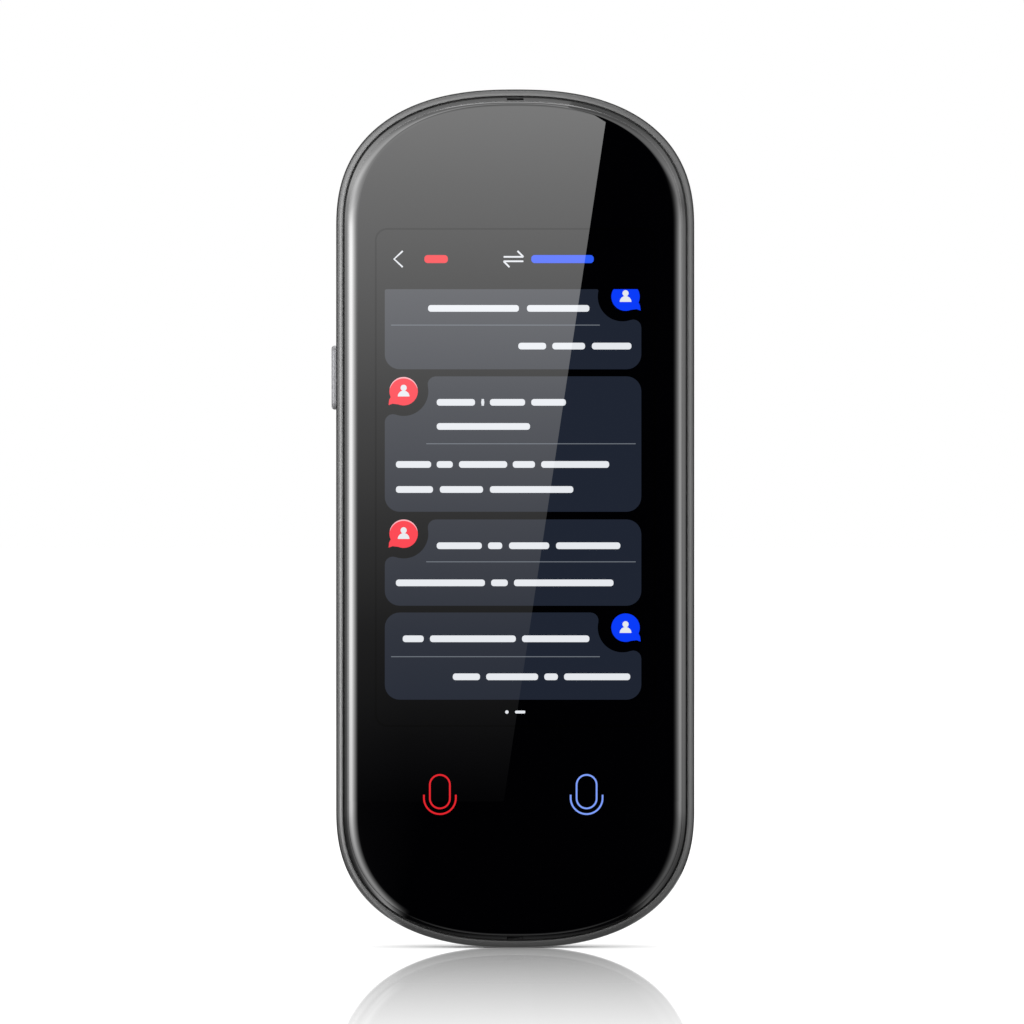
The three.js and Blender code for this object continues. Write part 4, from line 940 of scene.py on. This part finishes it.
def makeHeader():
    # A back arrow, two arrows for the swap, a label for each speaker and the page marks below.
    p = picture
    z, stroke, middle, reach, barb = p["headerZ"], p["stroke"], p["arrowsX"], p["arrowReach"], p["arrowBarb"]
    ends, tip, half = p["backArrow"]
    marks = [strokeLoop([(ends, z + half), (tip, z), (ends, z - half)], stroke)]
    for way in (1, -1):
        tip, level = middle + reach * way, z + p["arrowRise"] * way
        for end in ((middle - reach * way, level), (tip - barb * way, level + barb * way)):
            marks.append(strokeLoop([end, (tip, level)], stroke))
    x, radius = p["pageDot"]
    marks.append(arcPoints((x, p["pageZ"]), radius, 0, 340, 18))
    marks.append(bar(p["pageBar"], p["pageZ"], *p["pageBarSize"]))
    printedPiece("headerMarks", marks, "mark", "wordWhite")
    spoken, heard = (pill(p[label], z, p["labelHeight"]) for label in ("spokenLabel", "heardLabel"))
    printedPiece("spokenLabel", [spoken], "mark", "labelRed")
    printedPiece("heardLabel", [heard], "mark", "labelBlue")


def makeTalkIcon(name, side, light, slot):
    # Microphone outline: a capsule and an arc under it.
    p = picture
    x, z = p["talkMiddle"] + side * p["talkHalf"], p["talkZ"]
    wide, tall = p["talkSize"]
    capsule = stadium(wide, tall, wide / 2, 14) + (x, z)
    ringPiece(name + "Body", *strokeSides(capsule, p["talkStroke"], closed=True), "area", light, slot)
    radius, drop, ends = p["talkArc"]
    arc = arcPoints((x, z - drop), radius, 180, 360, 30)
    arc = np.concatenate([[(x - radius, z - ends)], arc, [(x + radius, z - ends)]])
    printedPiece(name + "Arc", [strokeLoop(arc, p["talkStroke"])], "area", light)


makeArea()
makeMessages()
makeHeader()
makeTalkIcon("talkIconRed", -1, "talkRed", "red_light")
makeTalkIcon("talkIconBlue", 1, "talkBlue", "blue_light")
print("screen picture ready")

# Side key

keyForm = {
    "chamfer": 0.5,
    "size": (2.6, 10.4),
    "flangeThick": 0.6,
    "flange": 0.5,
    "faceMargin": 0.25,
}


def makeKey():
    k = keyForm
    low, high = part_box("power_key")
    start, innerEnd = low.x / mm, high.x / mm
    size, chamfer = np.array(k["size"]), k["chamfer"]
    rings = [keyRing(start, *(size - 2 * chamfer - k["faceMargin"]))]
    for turn in arcRow(0, 90, 9):
        lost = chamfer * (1 - math.sin(turn))
        rings.append(keyRing(start + chamfer * (1 - math.cos(turn)), *(size - 2 * lost)))
    flangeStart = innerEnd - k["flangeThick"]
    rings.append(keyRing(flangeStart, *size))
    rings += [keyRing(x, *(size + 2 * k["flange"])) for x in (flangeStart, innerEnd)]
    key = skin("powerKeySkin", rings, body="key")
    finishPiece(key, finishes["keyPaint"])
    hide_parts("power_key")


makeKey()
print("side key ready")

# Camera

cameraForm = {
    # profiles as (radius, depth)
    "trim": [
        (3.2, 0.55), (3.2, 0.42), (3.24, 0.34), (3.5, 0.06), (3.6, 0), (4.05, 0), (4.2, 0.06), (4.25, 0.2),
        (4.25, 1), (2.7, 1), (2.7, 0.65), (3.2, 0.65),
    ],
    "window": [(2.9, 0.3), (3.08, 0.3), (3.1, 0.34), (3.1, 0.56), (3.05, 0.6), (2.8, 0.6)],
    "barrel": [
        (2.9, 4.75), (2.9, 1.5), (2.62, 1.5), (2.6, 1.6), (2.58, 1.8), (2.58, 2.75), (1.9, 2.75),
        (0.05, 2.75), (0.05, 4.75),
    ],
    "lensRing": [(2.84, 1.5), (2.84, 1.38), (2.8, 1.34), (2.7, 1.34), (2.66, 1.38), (2.66, 1.5)],
    "shine": (3.22, 3.52),  # from and to which radius the trim's inner edge shines
    "shineSoft": 0.03,
    "shineIor": 0.45,  # above that of the flat
    "flatIor": 1.1,
    "windowIor": 1.12,
    "windowTint": (0.95, 0.95, 0.98),
    "lensRadius": 2.52,
    "lensBack": 2.6,
    "lensEdge": 2.1,
    "lensTop": 1.6,
    "lensBevel": 0.05,
    "lensMiddle": 0.4,  # radius of the flat back
    "lensDark": "060510",
    "lensMetal": 0.3,
    "turnFrom": -60,  # degrees, from where the angles of the marks run
    "reflectionSoft": (3, 0.05),  # soft ends of a painted reflection, in degrees and as a share of the radius
    # painted reflections of lights and painted glints on the lens: angle from the top towards -X in degrees,
    # distance from the middle as a share, colour, strength
    "paintedReflections": [
        ((-19, 51), (0.16, 1.0), "46429c", 1.0),
        ((-10, 46), (0.84, 1.0), "8a84c8", 0.6),
        ((-17, 57), (0.1, 0.4), "f4e2ff", 1.0),
        ((152, 208), (0.1, 0.42), "8468d8", 1.0),
        ((196, 252), (0.7, 0.94), "9db4ff", 0.85),
        ((160, 200), (0.78, 0.97), "9a86dc", 0.9),
        ((212, 220), (0.5, 0.58), "ffffff", 1.0),
    ],
}


def bandMask(calc, value, low, high, soft):
    # 1 between low and high, with soft ends.
    rise, fall = shareBetween(calc, value, low, low + soft), shareBetween(calc, value, high, high - soft)
    return calc("MULTIPLY", rise, fall)


def aboutLens(tree):
    # Where a point lies round the lens: angle from the top towards -X, in degrees, and radius.
    calc = partial(mathNode, tree)
    axes = objectAxes(tree)
    up = calc("SUBTRACT", axes["Z"], shellForm["cameraZ"] * mm)
    across = calc("MULTIPLY", axes["X"], -1)
    angle = degreesNode(calc, across, up)
    turned = calc("MULTIPLY", calc("LESS_THAN", angle, cameraForm["turnFrom"]), 360)
    length = calc("SQRT", calc("ADD", calc("MULTIPLY", up, up), calc("MULTIPLY", across, across)))
    return calc("ADD", angle, turned), calc("DIVIDE", length, mm)


def lensMaterial():
    # Lens: near-black glass with painted reflections of lights as wedges and crescents of violet and blue,
    # and painted glints, by angle and radius.
    finish = glassMaterial("lensWithPaintedReflections", (0, 0, 0), cameraForm["flatIor"])
    tree = finish.node_tree
    calc = partial(mathNode, tree)
    angle, radius = aboutLens(tree)
    radius = calc("DIVIDE", radius, cameraForm["lensRadius"])
    colour = srgb(cameraForm["lensDark"])
    # each mark is a painted reflection or glint laid into the base colour
    for angles, radii, code, strength in cameraForm["paintedReflections"]:
        turned = bandMask(calc, angle, *angles, cameraForm["reflectionSoft"][0])
        ringed = bandMask(calc, radius, *radii, cameraForm["reflectionSoft"][1])
        colour = mixColour(tree, calc("MULTIPLY", turned, ringed, strength), colour, srgb(code))
    return dress(finish, {"Base Color": colour, "Metallic": cameraForm["lensMetal"]})


def trimMaterial():
    # Gloss black ring: hardly any shine on its flat, a strong one on its inner edge.
    finish = glassMaterial("trimGloss", srgb("020203"))
    calc = partial(mathNode, finish.node_tree)
    radius = aboutLens(finish.node_tree)[1]
    c = cameraForm
    extra = calc("MULTIPLY", bandMask(calc, radius, *c["shine"], c["shineSoft"]), c["shineIor"])
    return dress(finish, {"IOR": calc("ADD", extra, c["flatIor"])})


def windowMaterial():
    # Clear camera window with a coat that takes most of its shine.
    finish = glassMaterial("cameraWindow", cameraForm["windowTint"], cameraForm["windowIor"])
    return dress(finish, {"Transmission Weight": 1.0})


finishes["cameraWindow"] = windowMaterial()
finishes["lensWithPaintedReflections"] = lensMaterial()
finishes["trimGloss"] = trimMaterial()


def makeCamera():
    c = cameraForm
    centre = (0, shellForm["cameraZ"])
    trim = skin("cameraTrimSkin", turnedRings(c["trim"], centre), wrapRows=True)
    finishPiece(trim, finishes["trimGloss"])
    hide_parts("camera_trim_ring")
    window = skin("cameraWindowSkin", turnedRings(c["window"], centre))
    finishPiece(window, finishes["cameraWindow"])
    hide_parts("camera_window")
    barrel = skin("lensBarrelSkin", turnedRings(c["barrel"], centre), wrapRows=True)
    finishPiece(barrel, finishes["blackPlastic"])
    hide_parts("lens_barrel")
    ring = skin("lensRing", turnedRings(c["lensRing"], centre), wrapRows=True)
    finishPiece(ring, finishes["lensRing"])
    # The lens's front is part of an ellipse: radius * cos(t), edge - rise * sin(t).
    radius, back, edge, bevel = c["lensRadius"], c["lensBack"], c["lensEdge"], c["lensBevel"]
    rise = edge - c["lensTop"]
    profile = [(c["lensMiddle"], back), (radius - bevel, back), (radius, back - bevel)]
    profile += [(radius * math.cos(a), edge - rise * math.sin(a)) for a in arcRow(0, 88, 14)]
    lens = skin("cameraLensSkin", turnedRings(profile, centre))
    finishPiece(lens, finishes["lensWithPaintedReflections"])
    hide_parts("camera_lens")


makeCamera()
print("camera ready")

# Charging port

portForm = {
    "size": (8.94, 3.16),
    "wall": 0.3,
    "mouthZ": -68.9,
    "rearZ": -61.6,
    "lip": 0.1,
    "contacts": 12,
    "contactPitch": 0.5,
    "contactSize": (0.26, 2.6),
    "contactRound": 0.05,
    "contactThick": 0.02,
    "contactZ": -66.2,
    "tongueHalf": 0.35,
}


def makePort():
    p = portForm
    size, wall, rear = np.array(p["size"]), p["wall"], p["rearZ"]
    rings = [portRing(rear, *size)]
    for turn in arcRow(0, 180, 9):
        inset = wall / 2 * (1 - math.cos(turn))
        rings.append(portRing(p["mouthZ"] + p["lip"] * (1 - math.sin(turn)), *(size - 2 * inset)))
    rings.append(portRing(rear - wall, *(size - 2 * wall)))
    tube = skin("portShellSkin", rings)
    finishPiece(tube, finishes["plainSteel"])
    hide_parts("usb_shell")


def makeContacts():
    # Flat contacts on both faces of the port's tongue.
    p = portForm
    stacks = []
    for side in (1, -1):
        reaches = (p["tongueHalf"], p["tongueHalf"] + p["contactThick"])
        depths = [shellForm["portDepth"] + side * reach for reach in reaches]
        for index in range(p["contacts"]):
            x = (index - (p["contacts"] - 1) / 2) * p["contactPitch"]
            ring = stadium(*p["contactSize"], p["contactRound"], 2) + (x, p["contactZ"])
            stacks.append([laidAt(ring, depth) for depth in depths])
    flatPiece("portContacts", stacks, finishes["goldContact"])


makePort()
makeContacts()
print("charging port ready")

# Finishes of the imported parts

nodeFinishes = {
    "blackPlastic": [
        "speaker_frame", "speaker_diaphragm", "camera_module", "switch_plunger", "usb_tongue", "lens_barrel",
    ],
    "dustMesh": ["speaker_mesh"],
    "greyFoam": ["speaker_gasket", "battery_tape", "glass_gasket"],
    "blackRubber": ["top_microphone_boot", "bottom_microphone_boot"],
    "circuitBoard": ["main_board", "bottom_board", "touch_key_board", "battery_protection_board"],
    "chipResin": ["processor", "memory_chip"],
    "plainSteel": [
        "processor_shield", "radio_shield", "side_switch", "speaker_magnet", "usb_shell",
        *[f"chassis_screw_{n}" for n in (1, 2, 3, 4)], *[f"board_screw_{n}" for n in (1, 2, 3)],
    ],
    "castAlloy": ["inner_chassis"],
    "cellWrap": ["battery_cell"],
    "amberFilm": ["display_flex", "link_flex", "antenna_film"],
    "goldContact": ["speaker_contact_left", "speaker_contact_right", "top_microphone", "bottom_microphone"],
    "redWire": ["battery_lead_positive"],
    "blackWire": ["battery_lead_negative"],
    "whitePanel": ["display_backlight", "battery_plug"],
    "redLight": ["red_key_light"],
    "blueLight": ["blue_key_light"],
    "darkGlass": ["touch_sensor", "display_panel", "camera_trim_ring", "front_bezel"],
    "casePaint": ["rear_shell", "power_key"],
    "framePaint": ["mid_frame"],
    "coverGlass": ["cover_glass"],
    "cameraWindow": ["camera_window"],
    "lensWithPaintedReflections": ["camera_lens"],
}
left = set(cadNodes)
for finishName, names in nodeFinishes.items():
    for nodeName in names:
        left.remove(nodeName)
        for slotItem in cadNodes[nodeName].material_slots:
            slotItem.material = finishes[finishName]
print("packed parts finished; without a finish:", sorted(left))

# Camera, floor and light

studio = {
    "lens": 300,
    "sensor": 36,
    "clipEnd": 200,  # metres
    "distance": 1380.5,
    "centre": (-0.52, 1.06),
    "floorSize": 30000,
    "floorZ": -69.52,
    "floorGrey": 0.35,
    "floorGlow": 0.8,
    "floorBehind": 0.8,
    "floorTurn": (-15.5, -12.5),
    "contactReach": 7.5,
    "contactFade": 0.42,
    "contactSamples": 8,
    "mirror": 1.05,
    "mirrorFade": 350,
    "mirrorRoughness": 0.02,
    "worldLight": 0.7,
    # name, place and size in metres, power in watts
    "lamps": [
        ("keyLamp", (-0.9, -1.1, 1.1), 1.0, 8),
        ("fillLamp", (1.1, -0.9, 0.7), 1.2, 4),
        ("backLamp", (0.3, 1.2, 1.0), 1.2, 7),
    ],
}


def makeCameraView():
    data = bpy.data.cameras.new("viewCamera")
    data.lens = studio["lens"]
    data.sensor_width = studio["sensor"]
    data.clip_end = studio["clipEnd"]
    camera = addObject("viewCamera", data)
    x, z = studio["centre"]
    camera.location = (x * mm, -(studio["distance"] + glassForm["frontDepth"]) * mm, z * mm)
    camera.rotation_euler = (math.pi / 2, 0, 0)
    bpy.context.scene.camera = camera


def makeLamps():
    # Soft lamps that aim at the part and aren't mirrored in it.
    for name, place, size, power in studio["lamps"]:
        data = bpy.data.lights.new(name, "AREA")
        data.size = size
        data.energy = power
        lamp = addObject(name, data)
        lamp.location = place
        lamp.visible_glossy = False
        lamp.rotation_euler = (-lamp.location).to_track_quat("-Z", "Y").to_euler()


def makeWorld():
    # White for rays that look at it straight, by a mirror or through glass.
    world = bpy.data.worlds.new("studioAir")
    world.use_nodes = True
    tree = world.node_tree
    path = newNode(tree, "LightPath").outputs
    rays = [path[f"Is {kind} Ray"] for kind in ("Camera", "Glossy", "Transmission")]
    levels = {0: mathNode(tree, "MAXIMUM", *rays), 2: studio["worldLight"], 3: 1.0}
    strength = newNode(tree, "Mix", levels, data_type="FLOAT").outputs[0]
    sky = tree.nodes["Background"]
    feed(tree, sky.inputs["Color"], (1, 1, 1))
    feed(tree, sky.inputs["Strength"], strength)
    bpy.context.scene.world = world


def bareMaterial(name):
    # A material with nothing in it but its output's socket.
    finish = bpy.data.materials.new(name)
    finish.use_nodes = True
    finish.node_tree.nodes.clear()
    return finish, finish.node_tree, newNode(finish.node_tree, "OutputMaterial").inputs[0]


def floorMaterial():
    # White gloss floor. To the camera its white is partly its own, so it stays white and keeps the shadow.
    # Its mirror share is Fresnel * mirror * (1 - distance / fade). Reflections in the part see it dark in
    # front and lit behind, level = behind * share of the way from low to high, and by the side lights.
    finish, tree, out = bareMaterial("whiteFloor")
    calc = partial(mathNode, tree)
    s = studio
    path = newNode(tree, "LightPath").outputs
    axes = objectAxes(tree)
    length = newNode(tree, "VectorMath", {0: objectPlace(tree)}, operation="LENGTH").outputs["Value"]
    diffuse = newNode(tree, "BsdfDiffuse", {"Color": (s["floorGrey"],) * 3}).outputs[0]
    reach = {"Distance": s["contactReach"] * mm}
    shade = newNode(tree, "AmbientOcclusion", reach, samples=s["contactSamples"]).outputs["AO"]
    clearness = calc("POWER", shade, s["contactFade"])
    own = newNode(tree, "Emission", {"Strength": calc("MULTIPLY", clearness, s["floorGlow"])}).outputs[0]
    white = newNode(tree, "AddShader", {0: diffuse, 1: own}).outputs[0]
    gloss = newNode(tree, "BsdfGlossy", {"Roughness": s["mirrorRoughness"], "Color": clearness}).outputs[0]
    near = calc("SUBTRACT", 1, calc("DIVIDE", length, s["mirrorFade"] * mm), clamp=True)
    slant = newNode(tree, "Fresnel", {"IOR": 1.5}).outputs[0]
    seen = mixShader(tree, calc("MULTIPLY", near, slant, s["mirror"]), white, gloss)
    low, high = s["floorTurn"]
    rise = calc("MULTIPLY", shareBetween(calc, axes["Y"], low * mm, high * mm), s["floorBehind"])
    away = calc("DIVIDE", length, dome["radius"] * mm, clamp=True)
    shares = [calc("MULTIPLY", calc("POWER", away, power), share) for share, power in dome["floorFades"]]
    side, depth = dome["floorFrom"]
    angle = sideAngle(calc, axes["X"], calc("ADD", axes["Y"], depth * mm), side)
    sides = sideLights(tree, angle, axes["X"], *shares)
    reflected = newNode(tree, "Emission", {"Strength": calc("ADD", rise, sides)}).outputs[0]
    seen = mixShader(tree, path["Is Glossy Ray"], seen, reflected)
    feed(tree, out, mixShader(tree, path["Is Diffuse Ray"], seen, diffuse))
    return finish


def makeFloor():
    corners = np.array([(-1, -1, 0), (1, -1, 0), (1, 1, 0), (-1, 1, 0)]) * studio["floorSize"] / 2
    plane = meshObject("studioFloor", corners, [(0, 1, 2, 3)])
    plane.location.z = studio["floorZ"] * mm
    plane.data.materials.append(floorMaterial())


# The light dome: one sphere of soft lights round the part, seen only by reflections.
dome = {
    "radius": 700,
    "low": -5.65,  # degrees, where the dome meets the floor
    "rows": 60,
    "columns": 120,
    # the slanted edge of the front light, as it is seen on the glass
    "edgeTop": (14.67, 64.8),
    "edgeLow": (-3.58, -57.05),
    # height on the glass, and the brightness seen there
    "frontLevels": [
        (-60, 0), (-45, 0.0008), (-35.6, 0.0037), (-17.8, 0.0123), (0, 0.0319), (17.8, 0.0607),
        (35.6, 0.105), (53.4, 0.15), (66, 0.19), (200, 0.2), (330, 0.11), (425, 0.05), (470, 0.04),
    ],
    "glassShine": 0.04,
    # the part of the front light that the coated flat shows is this much stronger
    "flatGain": 3.24,
    "flatAngles": (1.5, 5.0),  # degrees, where that part ends
    "flatTops": (105, 125),  # heights, where that part ends
    # angle from straight ahead, and the side lights' strength
    "leftLights": [
        (0, 0), (4.7, 0.5), (9.4, 1.7), (14, 3.8), (19, 6.8), (23.6, 10.5), (28, 15), (33, 20), (37.4, 21),
        (42, 18), (46.6, 12.5), (51, 7), (55.6, 3.6), (60, 2), (66, 1.4), (85, 1.6), (96, 4.2), (104, 6),
        (134, 6), (144, 1.2), (150, 0.25), (180, 0.2),
    ],
    "rightLights": [
        (0, 0), (4.7, 0.03), (9.4, 0.13), (14, 0.4), (19, 1), (23.6, 1.95), (28, 3.1), (33, 4.8), (37.4, 7),
        (42, 7), (46.6, 5.2), (51, 4.4), (55.6, 3.6), (62, 3.2), (74, 2.6), (84, 1.2), (94, 0.8), (101, 7),
        (110, 9), (118, 8.5), (126, 5.5), (137, 4.9), (145, 3.6), (152, 1), (158, 0.2), (180, 0.2),
    ],
    # height as a share of the radius, and the share of the side lights
    "leftFade": [
        (-0.1, 0.7), (-0.05, 0.95), (0, 1), (0.09, 1), (0.12, 0.7), (0.16, 0.42), (0.22, 0.32), (0.3, 0.28),
        (0.4, 0.1), (0.5, 0), (1, 0),
    ],
    "rightFade": [
        (-0.1, 0.8), (-0.05, 1), (0.09, 1), (0.13, 0.85), (0.2, 0.62), (0.3, 0.38), (0.45, 0.12), (0.6, 0),
        (1, 0),
    ],
    "flatHalf": 26,  # half the width of the glass's flat
    "floorFrom": (20, 9),  # side and depth from which the lights' angle is taken on the floor
    "skyLevels": [(0.0, 0.0), (0.2, 0.0), (0.34, 2.6), (0.6, 2.8), (0.8, 1.6), (1.0, 1.6)],
    # the left and right side lights on the floor = share * (distance / radius)^power
    "floorFades": [(0.7, 0.34), (0.8, 0.42)],
    # the pale wall straight behind the part: from which angle, up to which height, brightness
    "wall": (164, 0.2, 1.15),
    # height as a share of the radius, and the brightness behind the part
    "backLevels": [(-0.1, 0.2), (0.0, 0.2), (0.45, 0.3), (0.7, 1.5), (0.85, 6.0), (1.0, 8.0)],
    "frontEnds": (80, 110),  # degrees, where the front light gives way to the back light
}


def domePoint(x, z):
    # Where the glass shows the dome: point = glass + (glass - camera) * radius / distance.
    beyond = dome["radius"] / studio["distance"]
    cx, cz = studio["centre"]
    return x + (x - cx) * beyond, z + (z - cz) * beyond


def rampNode(tree, value, stops):
    # A grey ramp over listed stops: positions run from 0 to 1 and the brightest stop is 1.
    low, high = stops[0][0], stops[-1][0]
    top = max(level for place, level in stops)
    share = mathNode(tree, "DIVIDE", mathNode(tree, "SUBTRACT", value, low), high - low)
    ramp = newNode(tree, "ValToRGB", {"Fac": share})
    elements = ramp.color_ramp.elements
    while len(elements) < len(stops):
        elements.new(0.5)
    for element, (place, level) in zip(elements, stops):
        element.position = (place - low) / (high - low)
        element.color = (level / top,) * 3 + (1,)
    return mathNode(tree, "MULTIPLY", ramp.outputs["Color"], top)


def sideAngle(calc, x, y, side):
    # The angle from straight ahead of the part's side: atan2(max(|x| - side, 0), -y).
    aside = calc("MAXIMUM", calc("SUBTRACT", calc("ABSOLUTE", x), side * mm), 0)
    return degreesNode(calc, aside, calc("MULTIPLY", y, -1))


def sideLights(tree, angle, x, leftShare, rightShare):
    # The lights left and right of the part, by that angle.
    calc = partial(mathNode, tree)
    isLeft = calc("LESS_THAN", x, 0)
    isRight = calc("SUBTRACT", 1, isLeft)
    left = calc("MULTIPLY", rampNode(tree, angle, dome["leftLights"]), isLeft, leftShare)
    right = calc("MULTIPLY", rampNode(tree, angle, dome["rightLights"]), isRight, rightShare)
    return calc("ADD", left, right)


def domeMaterial():
    # Light = slanted front light + side lights * height fade, and the back light behind the part.
    finish, tree, out = bareMaterial("lightDome")
    calc = partial(mathNode, tree)
    ramp = partial(rampNode, tree)
    d = dome
    x, y, z = objectAxes(tree)
    height = calc("DIVIDE", z, d["radius"] * mm)
    angle = sideAngle(calc, x, y, d["flatHalf"])
    sides = sideLights(tree, angle, x, ramp(height, d["leftFade"]), ramp(height, d["rightFade"]))
    (topX, topZ), (lowX, lowZ) = domePoint(*d["edgeTop"]), domePoint(*d["edgeLow"])
    slope = (topX - lowX) / (topZ - lowZ)
    edge = calc("ADD", calc("MULTIPLY", z, slope), (lowX - slope * lowZ) * mm)
    levels = [(domePoint(0, level)[1] * mm, seen / d["glassShine"]) for level, seen in d["frontLevels"]]
    front = calc("MULTIPLY", ramp(z, levels), calc("LESS_THAN", x, edge))
    # the gain fades out between the angles, and between the heights, where the flat's part ends
    angleStart, angleEnd = d["flatAngles"]
    topStart, topEnd = d["flatTops"]
    gain = shareBetween(calc, angle, angleEnd, angleStart)
    gain = calc("MULTIPLY", gain, shareBetween(calc, z, topEnd * mm, topStart * mm), d["flatGain"] - 1)
    front = calc("MULTIPLY", front, calc("ADD", gain, 1))
    behind = shareBetween(calc, angle, *d["frontEnds"])
    inFront = calc("SUBTRACT", 1, behind)
    front = calc("MULTIPLY", front, inFront)
    back = calc("MULTIPLY", ramp(height, d["backLevels"]), behind)
    sky = calc("MULTIPLY", ramp(height, d["skyLevels"]), inFront)
    wallAngle, wallTop, wallLevel = d["wall"]
    isWall = calc("MULTIPLY", calc("GREATER_THAN", angle, wallAngle), calc("LESS_THAN", height, wallTop))
    light = calc("MAXIMUM", calc("ADD", front, back, sides, sky), calc("MULTIPLY", isWall, wallLevel))
    feed(tree, out, newNode(tree, "Emission", {"Strength": light}).outputs[0])
    return finish


def stageReflector(thing, finish):
    # A light or card of the studio that only reflections in the part see.
    thing.data.materials.append(finish)
    thing.visible_camera = False
    thing.visible_diffuse = False
    thing.visible_transmission = False
    thing.visible_shadow = False


def makeDome():
    # Rings from the floor up, closed by one face at the top.
    d = dome
    turn = np.linspace(0, 2 * math.pi, d["columns"], endpoint=False)
    circle = np.stack([np.cos(turn), np.sin(turn)], axis=1)
    rises = arcRow(d["low"], 90, d["rows"])[:-1]
    rings = [np.insert(math.cos(rise) * circle, 2, math.sin(rise), axis=1) for rise in rises]
    verts = np.concatenate(rings) * d["radius"]
    faces = gridFaces(len(rings), len(turn))
    faces.append(list(range(len(verts) - len(turn), len(verts))))
    stageReflector(meshObject("lightDome", verts, faces), domeMaterial())


edgeFlag = {
    "depth": 10.6,
    "near": -0.15,  # outside the outline
    "far": -12,
    "lowest": -58,
    "reach": 16,  # only reflections this close see it
}


def flagMaterial():
    # Black on its outer side to reflections that come from close by, and clear to all others.
    finish, tree, out = bareMaterial("edgeFlag")
    calc = partial(mathNode, tree)
    clear = newNode(tree, "BsdfTransparent").outputs[0]
    black = newNode(tree, "BsdfDiffuse", {"Color": (0, 0, 0)}).outputs[0]
    close = calc("LESS_THAN", newNode(tree, "LightPath").outputs["Ray Length"], edgeFlag["reach"] * mm)
    facing = calc("SUBTRACT", 1, newNode(tree, "NewGeometry").outputs["Backfacing"])
    feed(tree, out, mixShader(tree, calc("MULTIPLY", close, facing), clear, black))
    return finish


def makeEdgeFlag():
    # A black card close round the body, behind the frame, that gives the frame's edge its dark line.
    e = edgeFlag
    near, far = ringAt(e["depth"], e["near"]), ringAt(e["depth"], e["far"])
    faces = [face[::-1] for face in gridFaces(2, len(near)) if near[face[0], 2] > e["lowest"]]
    stageReflector(meshObject("edgeFlag", np.concatenate([near, far]), faces), flagMaterial())


makeCameraView()
makeWorld()
makeFloor()
makeDome()
makeEdgeFlag()
makeLamps()
bpy.context.scene.view_settings.view_transform = "Standard"
print("studio ready")
